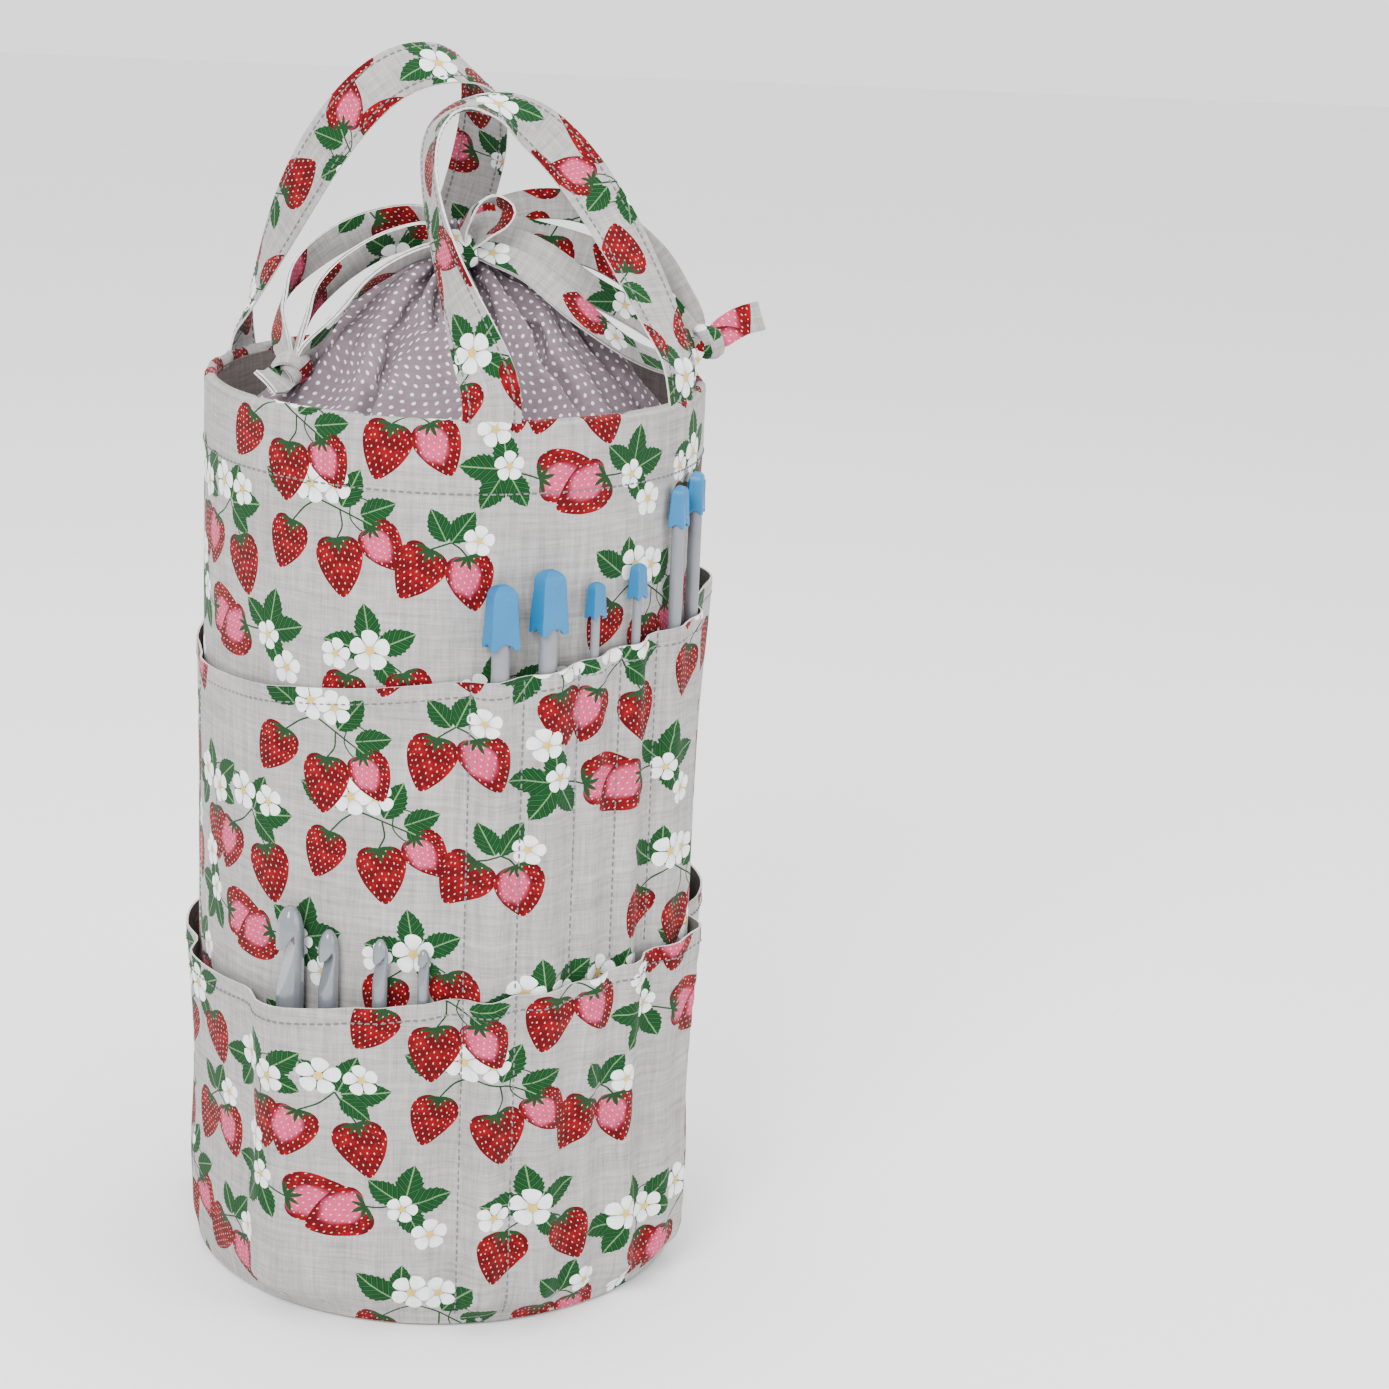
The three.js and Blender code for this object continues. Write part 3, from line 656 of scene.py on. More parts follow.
def lay_cloth(name, cut, art, place, thickness=None, materials=None):
    """The flat cut laid in space, with a back face one thickness behind it and closed edges"""
    flat, triangles, tops = cut
    thickness = thickness or sizes().cloth
    step = 2e-4
    here = place(flat[:, 0], flat[:, 1])
    du = place(flat[:, 0] + step, flat[:, 1]) - place(flat[:, 0] - step, flat[:, 1])
    dv = place(flat[:, 0], flat[:, 1] + step) - place(flat[:, 0], flat[:, 1] - step)
    normals = np.cross(du, dv)
    normals /= np.linalg.norm(normals, axis=1)[:, None]
    count = len(flat)
    rim = open_edges(triangles)
    sides = np.stack([rim[:, 1], rim[:, 0], rim[:, 0] + count, rim[:, 1] + count], 1)
    back = triangles[:, ::-1] + count
    loops = np.concatenate([triangles.ravel(), back.ravel(), sides.ravel()])
    sizes_of = np.concatenate([np.full(2 * len(triangles), 3), np.full(len(sides), 4)])
    mesh = bpy.data.meshes.new(name)
    mesh.vertices.add(2 * count)
    both = np.concatenate([here, here - thickness * normals])
    mesh.vertices.foreach_set("co", both.ravel())
    mesh.loops.add(len(loops))
    mesh.loops.foreach_set("vertex_index", loops.astype(np.int32))
    mesh.polygons.add(len(sizes_of))
    starts = np.concatenate([[0], np.cumsum(sizes_of)[:-1]])
    mesh.polygons.foreach_set("loop_start", starts.astype(np.int32))
    mesh.polygons.foreach_set("loop_total", sizes_of.astype(np.int32))
    mesh.update(calc_edges=True)
    slots = materials or print_materials()
    for material in slots:
        mesh.materials.append(material)
    kinds = np.array([0] + (art.kinds if art else []))
    front = np.where(tops < 0, 0, kinds[np.clip(tops, -1, None) + 1 if art else tops * 0])
    # Back faces take the darkened back material with its painted shade, edge faces the brightened edge
    # material with its painted highlight
    index = np.concatenate([front, np.full(len(triangles), REVERSE), np.full(len(sides), EDGE)])
    mesh.polygons.foreach_set("material_index", np.clip(index, 0, len(slots) - 1).astype(np.int32))
    mesh.polygons.foreach_set("use_smooth", np.ones(len(sizes_of), bool))
    all_flat = np.concatenate([flat, flat])
    add_uvs(mesh, "cloth", all_flat[loops])
    frames = np.array([(0, 0, 1, 0, 1, 0)] + (art.frames if art else []), float)
    chosen = np.repeat(np.clip(tops, -1, None) + 1, 3)
    pad = np.zeros(len(loops) - len(chosen), int)
    of_loop = frames[np.concatenate([chosen, pad])]
    offset = all_flat[loops] - of_loop[:, :2]
    local = np.stack(
        [
            offset[:, 0] * of_loop[:, 2] + offset[:, 1] * of_loop[:, 3],
            offset[:, 1] * of_loop[:, 2] - offset[:, 0] * of_loop[:, 3],
        ],
        1,
    )
    add_uvs(mesh, "motif", local / of_loop[:, 4:5])
    tint = mesh.attributes.new("tint", "FLOAT", "FACE")
    per_face = np.zeros(len(sizes_of))
    per_face[: len(triangles)] = frames[np.clip(tops, -1, None) + 1, 5]
    tint.data.foreach_set("value", per_face.astype(np.float32))
    out = np.concatenate([normals, -normals])[loops]
    points = both[loops[-4 * len(sides) :]].reshape(-1, 4, 3)
    facing = np.cross(points[:, 2] - points[:, 0], points[:, 3] - points[:, 1])
    facing /= np.linalg.norm(facing, axis=1)[:, None] + 1e-12
    out[-4 * len(sides) :] = np.repeat(facing, 4, axis=0)
    mesh.validate()
    mesh.normals_split_custom_set(out)
    made = bpy.data.objects.new(name, mesh)
    bpy.context.collection.objects.link(made)
    return made


def mesh_object(name, points, faces, material=None):
    """A smooth-shaded object from points and faces"""
    mesh = bpy.data.meshes.new(name)
    mesh.from_pydata(np.asarray(points).reshape(-1, 3).tolist(), [], faces)
    mesh.polygons.foreach_set("use_smooth", np.ones(len(mesh.polygons), bool))
    if material:
        mesh.materials.append(material)
    made = bpy.data.objects.new(name, mesh)
    bpy.context.collection.objects.link(made)
    return made


def ring_faces(rows, columns):
    """Faces between closed rings of points, ring by ring"""
    faces = []
    for i in range(rows - 1):
        for j in range(columns):
            n = (j + 1) % columns
            low, high = i * columns, (i + 1) * columns
            faces.append((low + j, low + n, high + n, high + j))
    return faces


def add_uvs(mesh, name, values):
    layer = mesh.uv_layers.new(name=name)
    layer.data.foreach_set("uv", np.asarray(values, np.float32).ravel())


def joined(name, objects):
    """Several objects made one, keeping their materials and map layers"""
    with bpy.context.temp_override(active_object=objects[0], selected_editable_objects=objects):
        bpy.ops.object.join()
    objects[0].name = name
    return objects[0]


def finish_piece(made, body="bag", nodes=()):
    if nodes:
        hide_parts(*nodes)
    if body:
        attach(made, body)
    return made


# ---------------------------------------------------------------- walls and pockets

# Length of the wall's cloth that goes over the rim, and the height below which it is plain
TURN_IN = 0.0085
WALL_PRINT_FROM = 0.262
UPPER_PRINT_FROM = 0.132
# Stitched dividers, in degrees round the bag
UPPER_DIVIDERS = (-85.5, -74.8, -62.2, -50.5, -39, -16, 45, 135, 188)
LOWER_DIVIDERS = (-85.5, -74.8, -16, 45, 135, 188)
# A pocket's cloth: its gape at the rim, sag near the foot, folds, hem and the hem's stitches
GAPE = 0.0030
SAG = 0.0020
FOLDS = 0.0011
HEM_STEP = 0.00035
HEM_EDGE = (0.0085, 0.0065)
HEM_STITCHES = 0.0068
SEAM_RADIUS = RADIUS + 0.0026


def swells(angle, height, seed, around, up, count=12):
    """Gentle irregular swells over a round wall, about -1 to 1"""
    pick = random.Random(seed)
    total = 0
    for _ in range(count):
        turns = pick.randint(*around)
        rise = pick.uniform(-up, up)
        phase = pick.uniform(0, 2 * math.pi)
        total = total + np.cos(turns * angle + rise * height + phase)
    return total / math.sqrt(count)


def round_point(radius, angle, height):
    return np.stack([radius * np.cos(angle), radius * np.sin(angle), height], -1)


def angle_gap(angle, other):
    """The angle between two directions round the bag, never more than half a turn"""
    return np.abs(np.mod(angle - other + math.pi, 2 * math.pi) - math.pi)


def distances(line):
    """Distance along a line to each of its points"""
    gaps = np.linalg.norm(np.diff(line, axis=0), axis=1)
    return np.concatenate([[0], np.cumsum(gaps)])


def rim_height(node):
    """Height of a pocket rim at each angle, as a plane: middle, climb and its direction"""
    points = node_points(node)
    top = points[points[:, 2] > 0.1]
    plane, *_ = np.linalg.lstsq(np.c_[top[:, :2], np.ones(len(top))], top[:, 2], rcond=None)
    across, along, middle = plane
    reach = RADIUS * 1.015
    return lambda angle: middle + reach * (across * np.cos(angle) + along * np.sin(angle))


def node_points(node):
    found = bpy.data.objects[node]
    return np.array([found.matrix_world @ v.co for v in found.data.vertices])


def outer_radius(node, heights, count=720):
    """Outside radius of a CAD node at each angle, the mean over some heights"""
    found = bpy.data.objects[node]
    tree = BVHTree.FromObject(found, bpy.context.evaluated_depsgraph_get())
    inverse = found.matrix_world.inverted()
    radii = np.zeros(count)
    for i in range(count):
        a = 2 * math.pi * i / count
        for z in heights:
            start = inverse @ Vector((0.3 * math.cos(a), 0.3 * math.sin(a), z))
            towards = inverse.to_3x3() @ Vector((-math.cos(a), -math.sin(a), 0))
            hit = tree.ray_cast(start, towards.normalized())[0]
            at = found.matrix_world @ hit
            radii[i] += math.hypot(at.x, at.y) / len(heights)
    return radii


def softened(values, widths):
    """A closed row of values blurred, and never less than it was"""
    span = np.arange(-3 * widths, 3 * widths + 1)
    weight = np.exp(-0.5 * (span / widths) ** 2)
    weight /= weight.sum()
    blurred = sum(w * np.roll(values, s) for w, s in zip(weight, span))
    return np.maximum(blurred, values - 0.00025)


def around(values, angle):
    """A closed row of values read at any angles"""
    turn = np.mod(angle, 2 * math.pi) / (2 * math.pi) * len(values)
    return np.interp(turn, np.arange(len(values) + 1), np.append(values, values[0]))


def between(low, high, x):
    """0 below low, 1 above high and a smooth rise from one to the other"""
    t = np.clip((x - low) / (high - low), 0, 1)
    return t * t * (3 - 2 * t)


def wall_angle(u):
    return SEAM_ANGLE + u / RADIUS


def wall_radius(angle, height):
    """The printed wall with the slight swells of stiffened cloth"""
    near_rim = between(0.30, HEIGHT, height)
    swell = 0.0007 * swells(angle, height, 3, (2, 7), 9) * near_rim
    ripple = 0.00022 * swells(angle, height, 4, (9, 22), 40)
    ridge = 0.0003 * between(FACING_BOTTOM - 0.002, FACING_BOTTOM + 0.001, height)
    return RADIUS + swell + ripple * near_rim + ridge


def wall_place(u, v):
    """Up the outside, over the rim and a little way down inside"""
    angle = wall_angle(u)
    roll = (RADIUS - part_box("rim_facing")[1].x + 0.0016) / 2
    up = HEIGHT - roll
    bend = np.clip((v - up) / roll, 0, math.pi)
    down = np.clip(v - up - math.pi * roll, 0, None)
    outside = wall_radius(angle, np.minimum(v, HEIGHT))
    radius = outside - roll * (1 - np.cos(bend))
    height = np.where(v < up, v, up + roll * np.sin(bend) - down)
    return round_point(radius, angle, height)


def build_wall():
    """The wall's cloth: printed where it shows, plain behind the pockets"""
    top = HEIGHT + TURN_IN
    art = printed((0, WALL_PRINT_FROM), (GIRTH, top), shift=(0.031, 0.012))
    plain = cut_panel(0, GIRTH, lambda u: 0.0, lambda u: WALL_PRINT_FROM, None, grid=0.012)
    shown = cut_panel(0, GIRTH, lambda u: WALL_PRINT_FROM, lambda u: top, art)
    lower = lay_cloth("wall_lower", plain, None, wall_place)
    wall = lay_cloth("printed_wall", shown, art, wall_place)
    wall = joined("printed_wall", [wall, lower])
    return finish_piece(wall, nodes=["outer_shell"])


def build_facing():
    """The turned-in hem inside the rim, showing the cloth's unprinted back, darkened with painted shade
    """
    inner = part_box("rim_facing")[1].x - 0.0014

    def place(u, v):
        angle = -wall_angle(u)
        radius = inner - 0.0003 + 0.0004 * swells(angle, v, 8, (3, 9), 30)
        return round_point(radius, angle, v)

    low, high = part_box("rim_facing")[0].z, HEIGHT - 0.004
    cut = cut_panel(0, GIRTH, lambda u: low, lambda u: high, None, grid=0.008)
    # The hem takes the cloth's back material, darkened with painted shade
    materials = [bpy.data.materials["linen_reverse_with_painted_shade"]] * 2
    facing = lay_cloth("rim_hem_inside", cut, None, place, materials=materials)
    return finish_piece(facing, nodes=["rim_facing"])


class Pocket:
    """One tier of pockets: its outside radius, rim and stitched dividers"""

    def __init__(self, node, dividers, print_from, seed, soft_sides):
        self.node = node
        self.dividers = np.radians(dividers)
        self.rim = rim_height(node)
        self.radii = softened(outer_radius(node, (0.06, 0.1, 0.13)), 5)
        self.print_from = print_from
        self.seed = seed
        self.soft_sides = soft_sides

    def slack(self, angle):
        """1 in the middle of a pocket, 0 at the stitching beside it"""
        nearest = np.full(np.shape(angle), 9.0)
        for divider in self.dividers:
            nearest = np.minimum(nearest, angle_gap(angle, divider))
        return between(0.0, 0.16, nearest)

    def freedom(self, angle):
        """How far the cloth may swell, less where hooks lie against it"""
        total = np.zeros(np.shape(angle))
        for low, high, amount in self.soft_sides:
            middle, half = math.radians((low + high) / 2), math.radians((high - low) / 2)
            total = total + amount * (1 - between(half * 0.8, half, angle_gap(angle, middle)))
        return total

    def radius(self, angle, height):
        base = around(self.radii, angle)
        rim = self.rim(angle)
        loose = self.slack(angle) * self.freedom(angle)
        gape = GAPE * between(rim - 0.10, rim, height) ** 2
        sag = SAG * np.exp(-(((height - 0.035) / 0.03) ** 2))
        folds = FOLDS * (1 + swells(angle, height, self.seed, (5, 16), 26))
        base = base + loose * (gape + sag + np.clip(folds, 0, None))
        hem = HEM_STEP * between(rim - HEM_EDGE[0], rim - HEM_EDGE[1], height)
        tuck = between(0.0, BASE_TUCK * 2, height)
        return SEAM_RADIUS + (base - SEAM_RADIUS) * tuck + hem

    def place(self, u, v):
        angle = wall_angle(u)
        return round_point(self.radius(angle, v), angle, v)

    def build(self, name, shift):
        low = self.print_from
        top = lambda u: float(self.rim(wall_angle(u)))
        foot = 0.0012
        art = printed((0, low), (GIRTH, HEIGHT), shift=shift)
        pieces = []
        if low > foot + 0.01:
            plain = cut_panel(0, GIRTH, lambda u: foot, lambda u: low, None, grid=0.008)
            pieces.append(lay_cloth(name + "_lower", plain, None, self.place))
        shown = cut_panel(0, GIRTH, lambda u: max(low, foot), top, art)
        pieces.insert(0, lay_cloth(name, shown, art, self.place))
        pocket = joined(name, pieces) if len(pieces) > 1 else pieces[0]
        return finish_piece(pocket, nodes=[self.node])


def upper_pocket():
    sides = ((-14, 186, 1.0), (190, 234, 0.5))
    return Pocket("upper_pocket_panel", UPPER_DIVIDERS, UPPER_PRINT_FROM, 11, sides)


def lower_pocket():
    sides = ((-84, 274, 1.0),)
    return Pocket("lower_pocket_panel", LOWER_DIVIDERS, 0.0, 12, sides)


# ---------------------------------------------------------------- stitches


def stitch_shape():
    """A short thread lying along X: rings of points and the faces between them"""
    rings = ((-0.5, 0.0), (-0.44, 0.6), (-0.25, 1.0), (0.25, 1.0), (0.44, 0.6), (0.5, 0.0))
    sides = 6
    points = []
    for x, r in rings:
        for k in range(sides):
            a = 2 * math.pi * k / sides
            points.append((x, r * math.cos(a), r * math.sin(a)))
    return np.array(points), np.array(ring_faces(len(rings), sides))


def sew(name, lines):
    """Stitches along lines, each line being (points, outward directions)"""
    radius = 0.42 * MM
    shape, faces = stitch_shape()
    all_points, all_faces = [], []
    for points, outward in lines:
        run = distances(points)
        places = np.arange(sizes().stitch_pitch / 2, run[-1], sizes().stitch_pitch)
        for s in places:
            at = [np.interp(s, run, points[:, k]) for k in range(3)]
            ahead = [np.interp(s + 0.001, run, points[:, k]) for k in range(3)]
            behind = [np.interp(s - 0.001, run, points[:, k]) for k in range(3)]
            out = np.array([np.interp(s, run, outward[:, k]) for k in range(3)])
            along = np.array(ahead) - behind
            along /= np.linalg.norm(along) + 1e-12
            side = np.cross(out, along)
            side /= np.linalg.norm(side) + 1e-12
            up = np.cross(along, side) * radius * 0.8
            axes = np.stack([along * sizes().stitch, side * radius, up])
            all_faces.append(faces + len(shape) * len(all_points))
            all_points.append(shape @ axes + at)
    return mesh_object(name, all_points, np.concatenate(all_faces).tolist(), thread())


def thread():
    """Twisted sewing thread, made once and shared"""
    name, colour = "stitch_thread", (0.15, 0.15, 0.155)
    found = bpy.data.materials.get(name)
    if found:
        return found
    material, tree = new_material(name)
    inputs = {"Vector": object_place(tree), "Scale": 900.0, "Distortion": 2.0}
    twist = add_node(tree, "ShaderNodeTexWave", inputs, bands_direction="DIAGONAL").outputs[1]
    cloth_finish(tree, mix_colour(tree, twist, full(colour, 0.8), full(colour)), twist, 0.2, 0.7)
    return material


def ring_line(place, height, start=0.0, end=GIRTH, lift=0.0):
    """A line round the bag at a height that may change with the angle"""
    u = np.linspace(start, end, 400)
    return lifted(place(u, np.array([height(a) for a in u])), lift)


def upright_line(place, angle, bottom, top, lift=0.0):
    u = (angle - SEAM_ANGLE) * RADIUS
    v = np.linspace(bottom, top, 80)
    return lifted(place(np.full(80, u), v), lift)


def lifted(points, lift):
    """Points moved away from the bag's axis, and the way out at each"""
    outward = points * (1, 1, 0)
    outward /= np.linalg.norm(outward, axis=1)[:, None]
    return points + outward * lift, outward


def build_stitching(upper, lower):
    """Stitches under the wall's hem, under each pocket rim and up each divider"""
    proud, sunk = 0.00018, -0.00015
    lines = [ring_line(wall_place, lambda u: FACING_BOTTOM + 0.003, lift=proud)]
    # The upper rim's stitches lie sunk in the cloth, clear of the hooks as these slide out
    for pocket, lift in ((upper, sunk), (lower, proud)):
        hem_line = lambda u, p=pocket: p.rim(wall_angle(u)) - HEM_STITCHES
        lines.append(ring_line(pocket.place, hem_line, lift=lift))
    for pocket, floor in ((upper, lower.rim), (lower, lambda a: 0.004)):
        for divider in pocket.dividers:
            low, high = float(floor(divider)), float(pocket.rim(divider))
            lines.append(upright_line(pocket.place, divider, low + 0.002, high - 0.001, proud))
    return finish_piece(sew("seam_stitching", lines))


# ---------------------------------------------------------------- ribbons


def along_curve(points, spacing):
    """The points joined by a smooth line and spaced evenly along it"""
    p = np.array(points, float)
    ends = np.vstack([2 * p[0] - p[1], p, 2 * p[-1] - p[-2]])
    line = []
    for i in range(1, len(ends) - 2):
        a, b, c, d = ends[i - 1 : i + 3]
        for t in np.linspace(0, 1, 24, endpoint=False):
            line.append(curve_point(a, b, c, d, t))
    return evenly(np.array(line + [p[-1]]), spacing)


def evenly(line, spacing):
    run = distances(line)
    places = np.linspace(0, run[-1], max(8, int(run[-1] / spacing)))
    return np.stack([np.interp(places, run, line[:, k]) for k in range(3)], 1)


def evened(values, passes):
    """A row of values each evened with its neighbours, the ends kept"""
    for _ in range(passes):
        values[1:-1] = (values[:-2] + values[1:-1] + values[2:]) / 3
    return values


def unit(vectors):
    return vectors / (np.linalg.norm(vectors, axis=-1, keepdims=True) + 1e-12)


def unit_cross(a, b):
    return unit(np.cross(a, b))


class Ribbon:
    """A flat strip of two layers: a line with a direction across it at each point

    pinch is how far the layers close up at the edges, layer the share of the thickness each takes.
    """

    def __init__(self, line, across, width, thickness, pinch=0.55, layer=0.47):
        self.line = line
        self.run = distances(line)
        self.length = self.run[-1]
        self.along = unit(np.gradient(line, axis=0))
        across = across - np.sum(across * self.along, 1)[:, None] * self.along
        self.across = unit(across)
        self.out = unit_cross(self.across, self.along)
        self.width = np.broadcast_to(np.asarray(width, float), self.run.shape)
        self.thickness = thickness
        self.pinch = pinch
        self.layer = layer
        self.waver = lambda x, s: 0 * s

    def at(self, values, s):
        return np.stack([np.interp(s, self.run, values[:, k]) for k in range(3)], -1)

    def place(self, x, s, side):
        """A point of one face: x across from -1 to 1, s along"""
        centre = self.at(self.line, s)
        width = np.interp(s, self.run, self.width)
        edge = np.clip(np.abs(x), 0, 1)
        dome = self.thickness / 2 * (1 - self.pinch * edge**7)
        rise = side * dome + self.waver(x, s)
        aside = self.at(self.across, s) * (x * width / 2)[:, None]
        return centre + aside + self.at(self.out, s) * rise[:, None]


def lay_ribbon(name, ribbon, shift, grid):
    """Both folded layers of a strip as one printed piece"""
    half = float(ribbon.width.max()) / 2
    layers = []
    for side in (1, -1):
        moved = (shift[0] + 0.05 * side, shift[1])
        art = printed((-half, 0), (half, ribbon.length), shift=moved)
        cut = cut_panel(-half, half, lambda u: 0.0, lambda u: ribbon.length, art, grid)

        def place(u, v, side=side):
            return ribbon.place(side * u / half, np.clip(v, 0, ribbon.length), side)

        layers.append(lay_cloth(name, cut, art, place, thickness=ribbon.thickness * ribbon.layer))
    return joined(name, layers)


# ---------------------------------------------------------------- handles

STRAP_WIDTH = 24 * MM
STRAP_THICKNESS = 1.9 * MM
FOOT_RADIUS = 105.6 * MM
FOOT_SPREAD = math.radians(28)
HINGE_HEIGHT = HEIGHT + 12 * MM
ARCH_POWER = 2.6
# Each strap: the way it faces outside at shares of its length, as it turns between its feet
FRONT_TURNS = (
    (0.0, (0.139, -0.990, 0)), (0.07, (-0.05, -0.99, 0)), (0.16, (-0.85, -0.5, 0.1)),
    (0.24, (-0.98, -0.16, 0.1)), (0.36, (-0.97, -0.08, 0.2)), (0.44, (-0.7, -0.2, 0.65)),
    (0.5, (-0.2, -0.35, 0.9)),
    (0.58, (0.12, -0.7, 0.65)), (0.72, (0.35, -0.85, 0.35)), (0.88, (0.62, -0.78, 0.05)),
    (1.0, (0.899, -0.438, 0)),
)
BACK_TURNS = (
    (0.0, (-0.139, 0.990, 0)), (0.2, (0.0, 0.98, 0.1)), (0.33, (0.4, 0.85, 0.35)),
    (0.42, (0.55, 0.1, 0.83)), (0.5, (0.2, -0.68, 0.7)), (0.62, (-0.1, -0.85, 0.5)),
    (0.75, (-0.45, -0.75, 0.4)), (0.87, (-0.85, -0.35, 0.2)), (1.0, (-0.899, 0.438, 0)),
)
HANDLES = (
    ("handle_front", -54, 38.8, 131 * MM, FRONT_TURNS),
    ("handle_back", 126, 32.4, 140 * MM, BACK_TURNS),
)


def strap_ribbon(centre, lean, reach, turns):
    """An upright riser at each foot, then a leaning arch between them"""
    centre, lean = math.radians(centre), math.radians(lean)
    outward = np.array([math.cos(centre), math.sin(centre), 0])
    sideways = np.array([-outward[1], outward[0], 0])
    leaning = -math.sin(lean) * outward + (0, 0, math.cos(lean))
    half = FOOT_RADIUS * math.sin(FOOT_SPREAD)
    middle = FOOT_RADIUS * math.cos(FOOT_SPREAD) * outward
    low = middle + (0, 0, HEIGHT - 4 * MM)
    hinge = middle + (0, 0, HINGE_HEIGHT)
    t = np.linspace(math.pi, 0, 120)
    u = np.sign(np.cos(t)) * np.abs(np.cos(t)) ** (2 / ARCH_POWER)
    v = np.abs(np.sin(t)) ** (2 / ARCH_POWER)
    arch = hinge + np.outer(half * u, sideways) + np.outer(reach * v, leaning)
    first, last = low - half * sideways, low + half * sideways
    line = evenly(np.vstack([first, arch, last]), 0.0025)
    for _ in range(10):
        line[1:-1] = (line[:-2] + 2 * line[1:-1] + line[2:]) / 4
    share = np.linspace(0, 1, len(line))
    keys = [key for key, _ in turns]
    facing = np.stack([np.interp(share, keys, [way[k] for _, way in turns]) for k in range(3)], 1)
    facing = evened(facing, 40)
    across = unit_cross(np.gradient(line, axis=0), facing)
    ribbon = Ribbon(line, across, STRAP_WIDTH, STRAP_THICKNESS)
    length = ribbon.length
    ribbon.waver = lambda x, s: 0.0006 * np.sin(s * 46 + 2 * x) * np.sin(math.pi * s / length) ** 0.5
    return ribbon


def bend_at_rim(made):
    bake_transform(made)


def build_handles():
    for name, centre, lean, reach, turns in HANDLES:
        ribbon = strap_ribbon(centre, lean, reach, turns)
        strap = lay_ribbon(name + "_strap", ribbon, shift=(0.02, 0.035), grid=0.005)
        finish_piece(strap, None, [name, name + "_tab_1", name + "_tab_2"])
        bend_at_rim(strap)
        s = np.linspace(0.002, ribbon.length - 0.002, 300)
        lines = []
        for side in (1, -1):
            for edge in (-1, 1):
                x = np.full(300, edge * (1 - 6 * MM / STRAP_WIDTH))
                lines.append((ribbon.place(x, s, side * 1.03), side * ribbon.at(ribbon.out, s)))
        stitches = sew(name + "_stitching", lines)
        finish_piece(stitches, None)
        bend_at_rim(stitches)


# ---------------------------------------------------------------- drawstrings

TAPE_WIDTH = 13 * MM
TAPE_THICKNESS = 2.2 * MM
CENTRE_KNOT = (-1, -20, 456)
LEFT_KNOT = (-69, -42, 407)
RIGHT_KNOT = (107, 8, 415)
TAPES = (
    ("left", "tape_left_back", 70, ((-12, 5, 464), (-28, 6, 464), (-50, 4, 456), (-69, -4, 441),
     (-75, -17, 426), (-74, -30, 418))),
    ("left", "tape_left_middle", 60, ((-13, -10, 460), (-30, -11, 456), (-47, -14, 446),
     (-59, -21, 434), (-64, -30, 422))),
    ("left", "tape_left_front", 35, ((-12, -19, 455), (-25, -25, 450), (-40, -32, 440),
     (-53, -39, 425))),
    ("right", "tape_right_back", 75, ((10, 2, 466), (34, 12, 472), (60, 17, 468), (84, 17, 451),
     (98, 12, 431))),
    ("right", "tape_right_upper", 70, ((12, -5, 464), (36, -1, 459), (60, 1, 452), (80, 2, 440),
     (96, 4, 424))),
    ("right", "tape_right_middle", 60, ((13, -13, 461), (34, -15, 454), (56, -14, 440), (78, -9, 428),
     (94, -3, 418))),
    ("right", "tape_right_front", 40, ((13, -21, 455), (30, -27, 449), (52, -29, 432), (74, -23, 416),
     (93, -12, 409))),
)
# Each tail: its solid, the tilt of its face, and its way on from the knot
TAILS = {
    "tape_left_front": ("tail_left", -40, ((-74, -53, 403.5), (-76, -58, 403.5), (-78, -63, 404.5))),
    "tape_right_back": ("tail_right", 68, ((119, 12, 421), (125, 14, 424), (133, 16, 426))),
}


def turned_about(vectors, axes, angle):
    """Vectors turned about their own axes"""
    c, s = math.cos(angle), math.sin(angle)
    along = np.sum(vectors * axes, 1)[:, None]
    return vectors * c + np.cross(axes, vectors) * s + axes * along * (1 - c)


def tape_ribbon(side, name, tilt, route):
    knot = LEFT_KNOT if side == "left" else RIGHT_KNOT
    middle = np.array(CENTRE_KNOT)
    inset = middle + 0.35 * (np.array(route[0]) - middle)
    points = [inset, *route, knot]
    if name in TAILS:
        points += TAILS[name][2]
    line = along_curve(np.array(points, float) * MM, 0.0015)
    along = unit(np.gradient(line, axis=0))
    level = unit(np.stack([-along[:, 1], along[:, 0], 0 * along[:, 0]], 1))
    across = turned_about(level, along, math.radians(tilt))
    knot_place = np.argmin(np.linalg.norm(line - np.array(knot) * MM, axis=1))
    if name in TAILS:
        tail_across = turned_about(level, along, math.radians(TAILS[name][1]))
        across[knot_place:] = tail_across[knot_place:]
    across = evened(across, 12)
    share = np.linspace(0, 1, len(line))
    width = TAPE_WIDTH * (1 - 0.35 * np.exp(-((share / 0.07) ** 2)))
    if name in TAILS:
        width = width * (1 - 0.4 * np.exp(-(((share - share[knot_place]) / 0.04) ** 2)))
    else:
        width = width * (1 - 0.45 * np.exp(-(((1 - share) / 0.08) ** 2)))
    ribbon = Ribbon(line, across, width, TAPE_THICKNESS, pinch=0.1, layer=0.38)
    seed = sum(map(ord, name))
    phase = random.Random(seed).uniform(0, 6)
    ribbon.waver = lambda x, s: 0.0005 * np.sin(90 * s + phase + 1.5 * x)
    return ribbon


def build_tapes():
    made = {}
    for number, (side, name, tilt, route) in enumerate(TAPES):
        ribbon = tape_ribbon(side, name, tilt, route)
        tape = lay_ribbon(name + "_strip", ribbon, shift=(0.013 * number, 0.029 * number), grid=0.0035)
        nodes = [name] + ([TAILS[name][0]] if name in TAILS else [])
        finish_piece(tape, "tapes_" + side, nodes)
        made[name] = (tape, ribbon)
    return made


